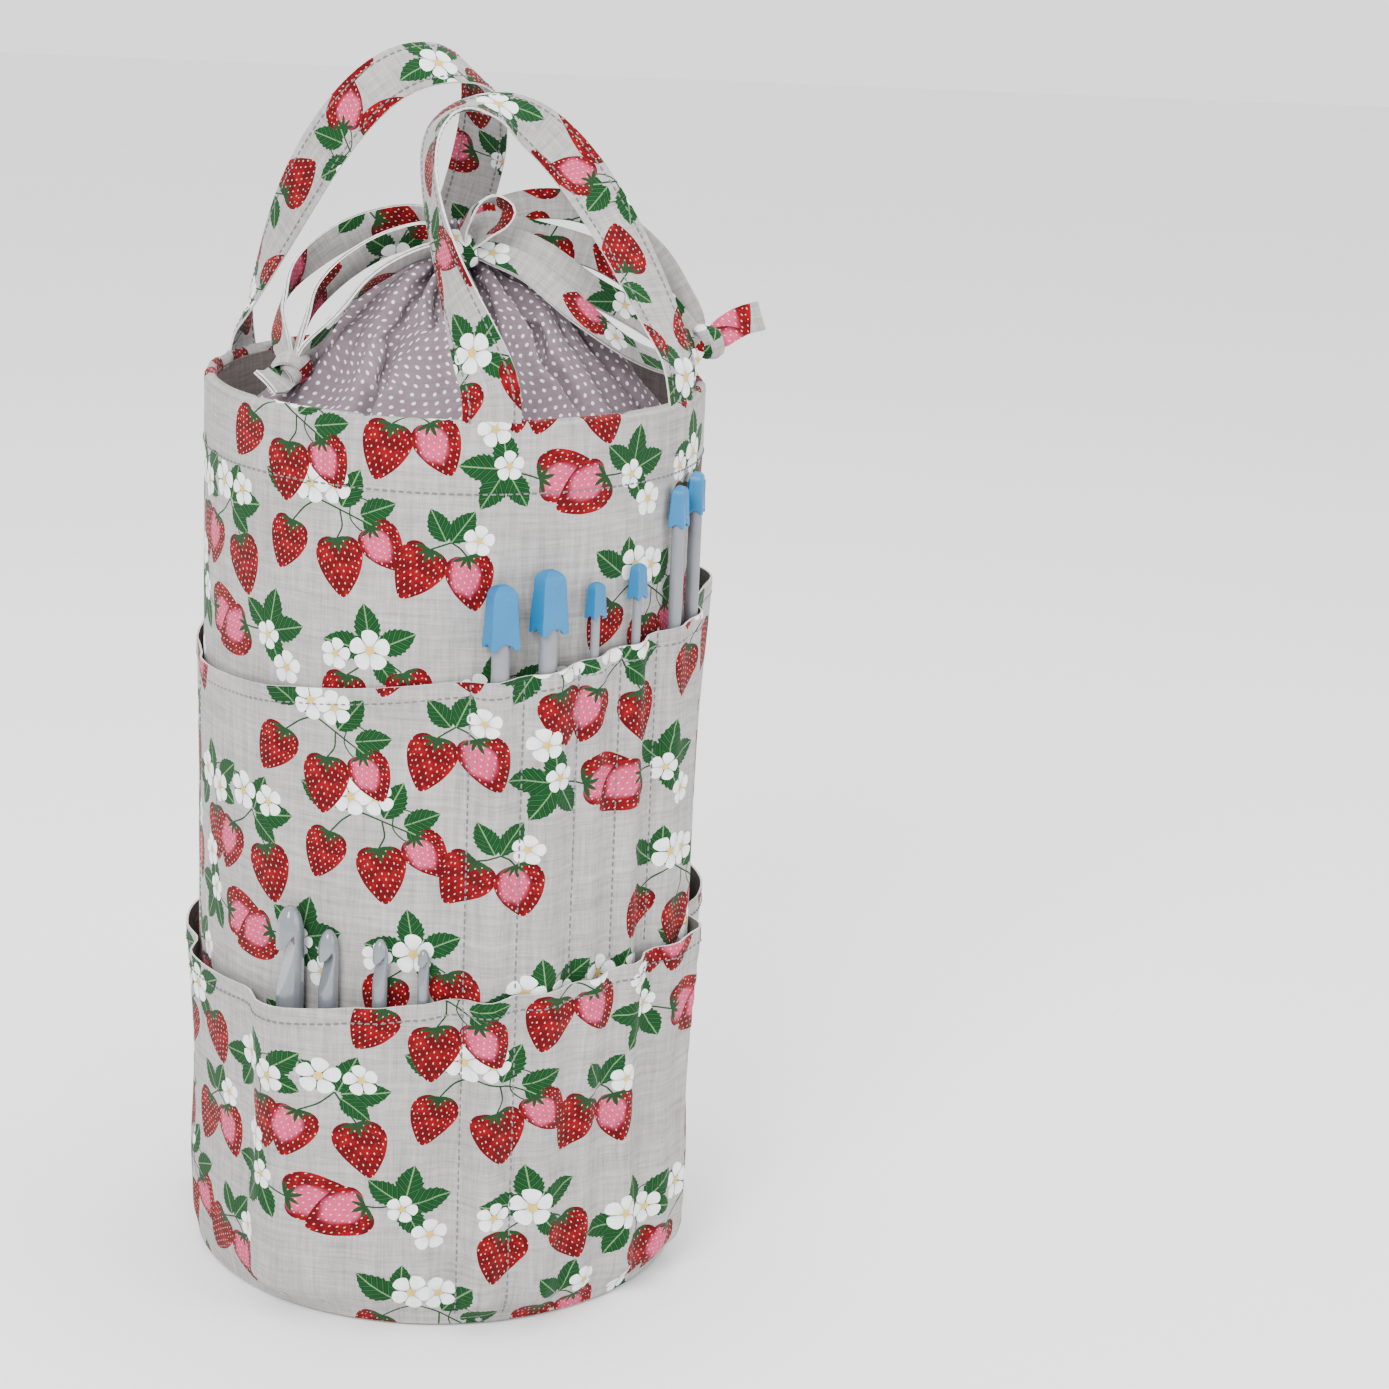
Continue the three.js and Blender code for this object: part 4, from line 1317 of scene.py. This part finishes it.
def knot_ribbon(centre, axis, size):
    """A band wound a little over twice round the tapes, each turn laid askew on the last"""
    t = np.linspace(0, 4.7 * math.pi, 250)
    axis = unit(np.array(axis, float))
    first = unit_cross(axis, np.array((0.2, 0.1, 1.0)))
    spoke = np.outer(np.cos(t), first) + np.outer(np.sin(t), np.cross(axis, first))
    share = t / t[-1]
    tucked = 3.2 * between(0.93, 1.0, share)
    radius = (3.6 + 1.9 * t / (2 * math.pi) - tucked) * size * MM
    slip = 2.3 * size * MM * np.sin(0.55 * t + 0.6)
    line = radius[:, None] * spoke + np.outer(slip, axis)
    across = axis + 0.2 * np.sin(0.5 * t)[:, None] * spoke
    ribbon = Ribbon(line + np.array(centre) * MM, across, 10.5 * size * MM, 1.8 * MM)
    ribbon.waver = lambda x, s: 0.0018 * x**2 + 0.00025 * np.sin(420 * s + 3 * x)
    return ribbon


# The loop of tape left standing above the centre knot
LOOP = (
    (1, -21, 457), (2, -24, 465), (6, -25, 474), (13, -25, 478), (20, -24, 474), (18, -23, 467),
    (10, -22, 461), (3, -21, 456),
)


def loop_ribbon():
    line = along_curve(np.array(LOOP, float) * MM, 0.001)
    across = np.tile((0.35, -0.90, 0.25), (len(line), 1))
    ribbon = Ribbon(line, across, 11 * MM, 1.8 * MM)
    ribbon.waver = lambda x, s: 0.0005 * x + 0.0003 * np.sin(260 * s)
    return ribbon


def build_knots(tapes):
    knots = (
        ("centre_knot", CENTRE_KNOT, (1.0, 0.1, 0.15), 1.05, "bag"),
        ("knot_left", LEFT_KNOT, (14, 30, 17), 1.0, "tapes_left"),
        ("knot_right", RIGHT_KNOT, (38, 16, 6), 1.0, "tapes_right"),
    )
    made = {}
    for number, (name, centre, axis, size, body) in enumerate(knots):
        ribbon = knot_ribbon(centre, axis, size)
        knot = lay_ribbon(name + "_fold", ribbon, shift=(0.04 * number, 0.01), grid=0.002)
        if name == "centre_knot":
            loop = lay_ribbon("centre_loop", loop_ribbon(), shift=(0.022, 0.031), grid=0.002)
            knot = joined(name + "_fold", [knot, loop])
        made[name] = finish_piece(knot, body, [name])
    for name, (tape, ribbon) in tapes.items():
        end_knot = made["knot_left" if "left" in name else "knot_right"]
        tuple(ribbon.line[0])
        "bare" if name in TAILS else "knot"
        [end_knot] if name in TAILS else []
    return made


# ---------------------------------------------------------------- collar

COLLAR_GIRTH = 0.644
THROAT_HEIGHT = 0.4505
CROWN = (
    (102.6, 366), (101.8, 371), (99.0, 377), (92, 384), (79, 392), (63, 403), (46, 417), (30, 431),
    (18.5, 442), (11.5, 449), (9.5, 452.5), (12.5, 457), (15, 459.5),
)


def fold_places(seed, count, shift, drift):
    """Where each valley of the collar starts and how it wanders on its way up"""
    pick = random.Random(seed)
    even = [(k + pick.uniform(-shift, shift)) / count for k in range(count)]
    return np.array(even), np.array([pick.uniform(-drift, drift) for _ in range(count)])


def fold_height(turn, s, count):
    """Height of the folds from 0 in the valleys to 1 on the ridges, at a share of the way round"""
    places, drift = fold_places(21, count, 0.3, 0.35 / count)
    pick = random.Random(22)
    begin = [pick.uniform(0.0, 0.12) if k % 2 == 0 else pick.uniform(0.2, 0.5) for k in range(count)]
    power = [pick.uniform(0.5, 0.9) for _ in range(count)]
    height = np.ones(np.broadcast(turn, s).shape)
    for k in range(count):
        middle = places[k] + drift[k] * np.sin(3 * s + k)
        gap = np.abs(np.mod(turn - middle + 0.5, 1) - 0.5) * count
        wide = np.clip(gap / 0.62, 0, 1)
        dip = 1 - np.sin(np.pi / 2 * wide) ** power[k]
        height -= dip * between(begin[k], begin[k] + 0.22, s)
    return height


def folded_rings(rows, columns):
    """Rings of evenly spaced cloth points, folded to fit between the rim and the throat"""
    crown = along_curve([(r * MM, 0, z * MM) for r, z in CROWN], 0.0004)
    steps = np.linspace(0, len(crown) - 1, rows)
    profile = np.stack([np.interp(steps, range(len(crown)), crown[:, k]) for k in (0, 2)], 1)
    slope = unit(np.gradient(profile, axis=0))
    turn = np.arange(2400) / 2400
    rings = []
    for i, (radius, height) in enumerate(profile):
        s = i / (rows - 1)
        folds = fold_height(turn, s, sizes().pleats)
        deep = fold_depth(turn, folds, radius, s)
        ring = collar_ring(turn, folds, deep, radius, height, slope[i], s)
        ring = np.vstack([ring, ring[:1]])
        run = distances(ring)
        places = np.arange(columns) / columns * run[-1]
        rings.append(np.stack([np.interp(places, run, ring[:, k]) for k in range(3)], 1))
    return np.array(rings), distances(profile)


def build_collar():
    """The sheet sewn in below the rim, drawn in to a throat and left to settle"""
    rows, columns = 46, 208
    rings, run = folded_rings(rows, columns)
    collar = mesh_object("collar_sheet", rings, ring_faces(rows, columns), dotted_cloth())
    corners = []
    for i in range(rows - 1):
        for j in range(columns):
            for a, b in ((i, j), (i, j + 1), (i + 1, j + 1), (i + 1, j)):
                corners.append((b / columns * COLLAR_GIRTH, run[a]))
    add_uvs(collar.data, "cloth", corners)
    angle = 2 * math.pi * np.arange(columns) / columns
    flat = np.stack([round_point(COLLAR_GIRTH / 2 / math.pi, angle, angle * 0 + h) for h in run])
    throat = int(np.argmin(np.abs(rings[rows // 2 :, :, 2].mean(1) - THROAT_HEIGHT))) + rows // 2
    held = [*range(2 * columns), *range(throat * columns, (throat + 1) * columns)]
    settle(collar, flat, held)
    fine = collar.modifiers.new("fine", "SUBSURF")
    fine.levels = fine.render_levels = 1
    thicken = collar.modifiers.new("cloth", "SOLIDIFY")
    thicken.thickness = 0.0005
    thicken.offset = -1
    finish_piece(collar, nodes=["gathered_collar", "collar_frill"])
    return collar


def contents_dome():
    """The rounded heap of yarn that the collar lies over, for settling only"""
    profile = [(max(r - 5.5, 1.0) * MM, (z - 4.5) * MM) for r, z in CROWN[1:11]]
    angle = 2 * math.pi * np.arange(64) / 64
    hollow = 0.5 - 0.5 * np.cos(3 * angle + 1.1 * np.sin(angle + 0.4) + 0.6)
    rings = []
    for i, (r, z) in enumerate(profile):
        sunk = hollow * 0.011 * math.sin(math.pi * (i + 1) / (len(profile) + 1))
        rings.append(round_point(r - 0.5 * sunk, angle, z - sunk))
    dome = mesh_object("contents", np.array(rings), ring_faces(len(rings), 64))
    dome.modifiers.new("touch", "COLLISION")
    dome.collision.thickness_outer = 0.001
    dome.collision.cloth_friction = 5
    return dome


def settle(collar, flat, held):
    """Let the folded cloth fall over the contents, keeping the lengths of its flat cut"""
    dome = contents_dome()
    collar.shape_key_add(name="folded")
    rest = collar.shape_key_add(name="flat")
    rest.data.foreach_set("co", flat.astype(np.float32).ravel())
    collar.vertex_groups.new(name="held").add(held, 1.0, "REPLACE")
    fall = collar.modifiers.new("fall", "CLOTH")
    cloth = fall.settings
    cloth.quality = 6
    cloth.mass = 0.0006
    cloth.tension_stiffness = cloth.compression_stiffness = 8
    cloth.shear_stiffness = 4
    cloth.bending_stiffness = 0.02
    cloth.tension_damping = cloth.compression_damping = cloth.shear_damping = 2
    cloth.bending_damping = 0.2
    cloth.air_damping = 4
    cloth.vertex_group_mass = "held"
    cloth.rest_shape_key = rest
    touch = fall.collision_settings
    touch.distance_min = 0.0012
    touch.use_self_collision = True
    touch.self_distance_min = 0.0011
    touch.collision_quality = 2
    frames = 30
    fall.point_cache.frame_start, fall.point_cache.frame_end = 1, frames
    scene = bpy.context.scene
    for number in range(1, frames + 1):
        scene.frame_set(number)
    fallen = collar.evaluated_get(bpy.context.evaluated_depsgraph_get())
    points = np.array([v.co for v in fallen.data.vertices], np.float32)
    scene.frame_set(1)
    collar.modifiers.clear()
    collar.shape_key_clear()
    collar.vertex_groups.clear()
    collar.data.vertices.foreach_set("co", points.ravel())
    collar.data.update()
    bpy.data.objects.remove(dome)


def collar_ring(turn, folds, deep, radius, height, slope, s):
    """One level of the collar, its folds standing out from the cone"""
    angle = 2 * math.pi * turn
    puff = 0.004 * math.sin(math.pi * s) * swells(2 * math.pi * turn, 9 * s, 31, (2, 6), 1)
    lift = puff * between(0.0, 0.2, s) + deep * (folds - 0.62)
    inward = min(0.75, 0.25 + 0.6 * s)
    ring = np.clip(radius + slope[1] * lift * inward * 1.3, 0.006, None)
    return round_point(ring, angle, height - slope[0] * lift * (1.15 - 0.35 * inward))


def fold_depth(turn, folds, radius, s):
    """Depth at which the folded ring is as long as the cloth it is cut from"""
    need = COLLAR_GIRTH * (1 - 0.06 * s)
    rise = np.abs(np.roll(folds, -1) - folds)
    base = 2 * math.pi * radius / len(turn)
    low, high = 0.0, 0.03
    for _ in range(24):
        middle = (low + high) / 2
        length = np.sum(np.hypot(base, middle * rise))
        low, high = (middle, high) if length < need else (low, middle)
    return min(low, 0.018) * between(0.0, 0.14, s)


def dotted_cloth():
    """Plain cloth with small white dots in staggered rows"""
    material, tree = new_material("dotted_cloth")
    x, y = uv_parts(tree, "cloth")[1:]
    pitch = 5.2 * MM
    row_share = math.sqrt(3) / 2
    row = y / (pitch * row_share)
    side = (x / pitch + row.odd_rows()).part()
    up = row.part() * row_share
    dots = 1.0 - (side * side + up * up).of("SQRT").rise(0.145, 0.19)
    body = mix_colour(tree, dots, dyed(tree, colours().collar), (0.70, 0.68, 0.71, 1))
    woven(tree, body, 0.22)
    return material


# ---------------------------------------------------------------- linings and base


def build_lining():
    """A loose lining inside the tub, and its disc on the base"""
    low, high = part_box("lining_wall")
    radius = high.x - 0.0014
    cloth = plain_cloth("lining_cloth", (0.26, 0.215, 0.20), 0.35)

    def place(u, v):
        angle = -wall_angle(u)
        ease = between(low.z, low.z + 0.02, v) * (1 - between(high.z - 0.02, high.z, v))
        wrinkle = 0.0012 * (1 + swells(angle, v, 41, (3, 14), 22)) * ease
        return round_point(radius - np.clip(wrinkle, 0, None), angle, v)

    cut = cut_panel(0, GIRTH, lambda u: low.z, lambda u: high.z, None, grid=0.009)
    wall = lay_cloth("lining_cloth_wall", cut, None, place, materials=[cloth, cloth])
    finish_piece(wall, nodes=["lining_wall"])
    floor = cloth_disc("lining_cloth_base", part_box("lining_base"), 0.0006, cloth, 43)
    finish_piece(floor, nodes=["lining_base"])


def cloth_disc(name, box, swell, material, seed):
    """A round of cloth with a soft edge, lying in a CAD disc's space"""
    radius = box[1].x
    thick = box[1].z - box[0].z
    rows, columns = 40, 180
    share = np.linspace(0.002, 1, rows)[:, None]
    angle = np.linspace(0, 2 * math.pi, columns, endpoint=False)[None, :]
    edge = thick / 2 * (1 - 0.8 * np.clip((share - 0.97) / 0.03, 0, 1) ** 2)
    wave = swell * swells(angle, 6 * share, seed, (1, 5), 1) * share * (1 - share) * 2
    middle = (box[0].z + box[1].z) / 2
    upper = round_point(radius * share, angle + 0 * share, middle + edge + np.abs(wave))
    lower = round_point(radius * share, angle + 0 * share, middle - edge + 0 * wave)
    points = np.concatenate([upper.reshape(-1, 3), lower.reshape(-1, 3)])
    faces = []
    layer = rows * columns
    for i in range(rows - 1):
        for j in range(columns):
            n = (j + 1) % columns
            quad = (i * columns + j, (i + 1) * columns + j, (i + 1) * columns + n, i * columns + n)
            faces.append(quad)
            faces.append(tuple(layer + k for k in reversed(quad)))
    last = (rows - 1) * columns
    for j in range(columns):
        n = (j + 1) % columns
        faces.append((last + j, layer + last + j, layer + last + n, last + n))
        faces.append((j, n, layer + n, layer + j))
    made = mesh_object(name, points, faces, material)
    loops = [i for f in faces for i in f]
    add_uvs(made.data, "cloth", points[loops][:, :2])
    return made


def build_base():
    linen = linen_ground("base_linen", 0.9)
    base = cloth_disc("base_cloth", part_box("base_panel"), 0.0, linen, 44)
    finish_piece(base, nodes=["base_panel"])
    for node, colour in (("base_board", (0.36, 0.34, 0.31)), ("wall_interlining", (0.55, 0.53, 0.50))):
        repaint(node, fibre_board(node + "_fibres", colour))


def fibre_board(name, colour):
    """Pressed fibres, flecked dark and light"""
    material, tree = new_material(name)
    fibres = noise(tree, object_place(tree), 700.0, 4.0)
    shade = mix_colour(tree, fibres.rise(0.35, 0.65), full(colour, 0.6), full(colour))
    cloth_finish(tree, shade, fibres, 0.3, 0.9)
    return material


def repaint(node, material):
    found = bpy.data.objects[node]
    found.data.materials.clear()
    found.data.materials.append(material)


# ---------------------------------------------------------------- needles and hooks


def plastic(name, colour, rough, coat):
    """Moulded plastic: slight clouding in colour and in gloss"""
    material, tree = new_material(name)
    place = object_place(tree)
    grain = noise(tree, place, 2500.0)
    cloud = noise(tree, place, 60.0, 3.0).rise(0.3, 0.7)
    raised = add_node(tree, "ShaderNodeBump", {"Height": grain, "Strength": 0.04, "Distance": 0.0002})
    shader = tree.nodes["Principled BSDF"]
    gloss = grain.rise(0.3, 0.7, rough, rough + 0.08, "LINEAR")
    shade = mix_colour(tree, cloud, full(colour, 0.88), full(colour))
    tree.links.new(shade, shader.inputs["Base Color"])
    tree.links.new(gloss.socket, shader.inputs["Roughness"])
    tree.links.new(raised.outputs[0], shader.inputs["Normal"])
    shader.inputs["Coat Weight"].default_value = coat
    shader.inputs["Coat Roughness"].default_value = 0.15
    return material


def add_core(mesh, cap, shaft):
    """A plug round the shaft inside its cap, closing the socket where the cap's flats reach it"""
    low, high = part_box(cap)
    side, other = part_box(shaft)
    radius = (other.x - side.x) / 2 + 0.8 * MM
    tall = high.z - low.z
    bottom, top = low.z + 0.24 * tall, low.z + 0.80 * tall
    middle = Vector(((side.x + other.x) / 2, (side.y + other.y) / 2, (bottom + top) / 2))
    bm = bmesh.new()
    bm.from_mesh(mesh)
    bmesh.ops.create_cone(
        bm,
        cap_ends=True,
        segments=32,
        radius1=radius,
        radius2=radius,
        depth=top - bottom,
        matrix=Matrix.Translation(middle),
    )
    bm.to_mesh(mesh)
    bm.free()


def smooth_copy(node, name, voxel, passes, shaft=None):
    """A CAD node's shape with its edges softly rounded"""
    source = bpy.data.objects[node]
    mesh = source.data.copy()
    mesh.transform(source.matrix_world)
    if shaft:
        add_core(mesh, node, shaft)
    made = bpy.data.objects.new(name, mesh)
    bpy.context.collection.objects.link(made)
    remesh = made.modifiers.new("even", "REMESH")
    remesh.mode = "VOXEL"
    remesh.voxel_size = voxel
    soften = made.modifiers.new("soft", "SMOOTH")
    soften.factor = 0.5
    soften.iterations = passes
    solid = bpy.data.meshes.new_from_object(made.evaluated_get(bpy.context.evaluated_depsgraph_get()))
    made.modifiers.clear()
    made.data = solid
    solid.polygons.foreach_set("use_smooth", np.ones(len(solid.polygons), bool))
    return made


def dressed_copy(node, name, voxel, passes, material, body, shaft=None):
    made = smooth_copy(node, name, voxel, passes, shaft)
    made.data.materials.clear()
    made.data.materials.append(material)
    return finish_piece(made, body, [node])


def build_needles():
    cap = plastic("cap_plastic", colours().cap, 0.42, 0.0)
    shaft = plastic("needle_plastic", colours().needle, 0.38, 0.1)
    for i in range(1, 7):
        body = f"needle_{i}"
        rod = f"needle_shaft_{i}"
        dressed_copy(f"needle_cap_{i}", f"point_guard_{i}", 0.00042, 5, cap, body, rod)
        dressed_copy(rod, f"needle_{i}_rod", 0.0007, 6, shaft, body)


def build_hooks():
    grey = plastic("hook_plastic", colours().hook, 0.16, 0.6)
    for i in range(1, 5):
        body = f"hook_{i}"
        dressed_copy(f"crochet_hook_{i}", f"{body}_rod", 0.00045, 6, grey, body)


# ---------------------------------------------------------------- camera and room


def aimed_camera():
    """The view from the front, a little above the rim"""
    yaw, pitch, roll = math.radians(4.76), math.radians(16.31), math.radians(2.68)
    ahead = Vector((math.sin(yaw) * math.cos(pitch), math.cos(yaw) * math.cos(pitch), -math.sin(pitch)))
    right = Vector((math.cos(yaw), -math.sin(yaw), 0))
    up = right.cross(ahead)
    level = Matrix((right, up, -ahead)).transposed()
    data = bpy.data.cameras.new("view")
    data.lens = 79.74
    data.sensor_width = 36
    camera = bpy.data.objects.new("view", data)
    bpy.context.collection.objects.link(camera)
    camera.matrix_world = (level @ Matrix.Rotation(roll, 3, "Z")).to_4x4()
    camera.location = (0, -1.3212, 0.6446)
    bpy.context.scene.camera = camera
    return camera


def soft_light(name, place, target, size, power):
    data = bpy.data.lights.new(name, "AREA")
    data.shape = "DISK"
    data.size = size
    data.energy = power
    light = bpy.data.objects.new(name, data)
    light.location = place
    light.rotation_euler = (Vector(target) - Vector(place)).to_track_quat("-Z", "Y").to_euler()
    bpy.context.collection.objects.link(light)
    return light


def build_room():
    world = bpy.data.worlds.new("room")
    world.use_nodes = True
    world.node_tree.nodes["Background"].inputs[0].default_value = (1, 1, 1, 1)
    world.node_tree.nodes["Background"].inputs[1].default_value = 1.7
    bpy.context.scene.world = world
    material, tree = new_material("floor_paper")
    shader = tree.nodes["Principled BSDF"]
    shade = mix_colour(tree, noise(tree, object_place(tree), 3.0), full((0.90,) * 3), full((0.93,) * 3))
    tree.links.new(shade, shader.inputs["Base Color"])
    shader.inputs["Roughness"].default_value = 0.9
    reach = 6.0
    corners = [(-reach, -reach, 0), (reach, -reach, 0), (reach, reach, 0), (-reach, reach, 0)]
    floor = mesh_object("floor", corners, [(0, 1, 2, 3)], material)
    floor.location.z = -0.4 * MM
    middle = (0, 0, 0.22)
    lights = [
        soft_light("key", (-0.7, -1.7, 1.5), middle, 1.0, 52),
        soft_light("fill", (1.7, -1.0, 0.8), middle, 1.4, 15),
        soft_light("top", (0.1, 0.3, 2.0), middle, 1.2, 24),
    ]


# ---------------------------------------------------------------- operators


class MESH_OT_bag_room(bpy.types.Operator):
    """Set the camera, floor and lights"""

    bl_idname = "mesh.bag_room"
    bl_label = "Room"
    bl_options = {"REGISTER", "UNDO"}

    def execute(self, context):
        aimed_camera()
        build_room()
        return {"FINISHED"}


class MESH_OT_bag_tapes(bpy.types.Operator):
    """Lay the drawstring tapes and fold their knots"""

    bl_idname = "mesh.bag_tapes"
    bl_label = "Drawstrings"
    bl_options = {"REGISTER", "UNDO"}

    def execute(self, context):
        print_materials()
        build_knots(build_tapes())
        return {"FINISHED"}


class MESH_OT_bag_wall(bpy.types.Operator):
    """Wrap the printed wall and turn in its hem"""

    bl_idname = "mesh.bag_wall"
    bl_label = "Wall"
    bl_options = {"REGISTER", "UNDO"}

    def execute(self, context):
        print_materials()
        build_wall()
        build_facing()
        return {"FINISHED"}


class MESH_OT_bag_pockets(bpy.types.Operator):
    """Wrap both tiers of pockets and sew them down"""

    bl_idname = "mesh.bag_pockets"
    bl_label = "Pockets"
    bl_options = {"REGISTER", "UNDO"}

    def execute(self, context):
        print_materials()
        upper, lower = upper_pocket(), lower_pocket()
        upper.build("upper_pockets", (0.052, 0.028))
        lower.build("lower_pockets", (0.101, 0.061))
        build_stitching(upper, lower)
        return {"FINISHED"}


class MESH_OT_bag_collar(bpy.types.Operator):
    """Gather the dotted collar"""

    bl_idname = "mesh.bag_collar"
    bl_label = "Collar"
    bl_options = {"REGISTER", "UNDO"}

    def execute(self, context):
        build_collar()
        return {"FINISHED"}


class MESH_OT_bag_handles(bpy.types.Operator):
    """Fold and sew the carrying handles"""

    bl_idname = "mesh.bag_handles"
    bl_label = "Handles"
    bl_options = {"REGISTER", "UNDO"}

    def execute(self, context):
        print_materials()
        build_handles()
        return {"FINISHED"}


class MESH_OT_bag_linings(bpy.types.Operator):
    """Line the tub and cover its base"""

    bl_idname = "mesh.bag_linings"
    bl_label = "Linings"
    bl_options = {"REGISTER", "UNDO"}

    def execute(self, context):
        build_lining()
        build_base()
        return {"FINISHED"}


class MESH_OT_bag_tools(bpy.types.Operator):
    """Shape the needles, their point guards and the hooks"""

    bl_idname = "mesh.bag_tools"
    bl_label = "Needles and hooks"
    bl_options = {"REGISTER", "UNDO"}

    def execute(self, context):
        build_needles()
        build_hooks()
        return {"FINISHED"}


OPERATORS = (
    MESH_OT_bag_room,
    MESH_OT_bag_tapes,
    MESH_OT_bag_wall,
    MESH_OT_bag_pockets,
    MESH_OT_bag_collar,
    MESH_OT_bag_handles,
    MESH_OT_bag_linings,
    MESH_OT_bag_tools,
)


class VIEW3D_PT_knitting_bag(bpy.types.Panel):
    """Steps and settings of the knitting bag"""

    bl_label = "Knitting Bag"
    bl_space_type = "VIEW_3D"
    bl_region_type = "UI"
    bl_category = "Knitting Bag"

    def draw(self, context):
        layout = self.layout
        for operator in OPERATORS:
            layout.operator(operator.bl_idname)
        for group in (context.scene.knitting_bag_sizes, context.scene.knitting_bag_colours):
            box = layout.box()
            for key in group.__annotations__:
                box.prop(group, key)


CLASSES = (KnittingBagSizes, KnittingBagColours, *OPERATORS, VIEW3D_PT_knitting_bag)


def register():
    for cls in CLASSES:
        bpy.utils.register_class(cls)
    bpy.types.Scene.knitting_bag_sizes = PointerProperty(type=KnittingBagSizes)
    bpy.types.Scene.knitting_bag_colours = PointerProperty(type=KnittingBagColours)


def unregister():
    del bpy.types.Scene.knitting_bag_sizes
    del bpy.types.Scene.knitting_bag_colours
    for cls in reversed(CLASSES):
        bpy.utils.unregister_class(cls)


def main():
    register()
    for operator in OPERATORS:
        group, name = operator.bl_idname.split(".")
        getattr(getattr(bpy.ops, group), name)()


if __name__ == "__main__":
    main()
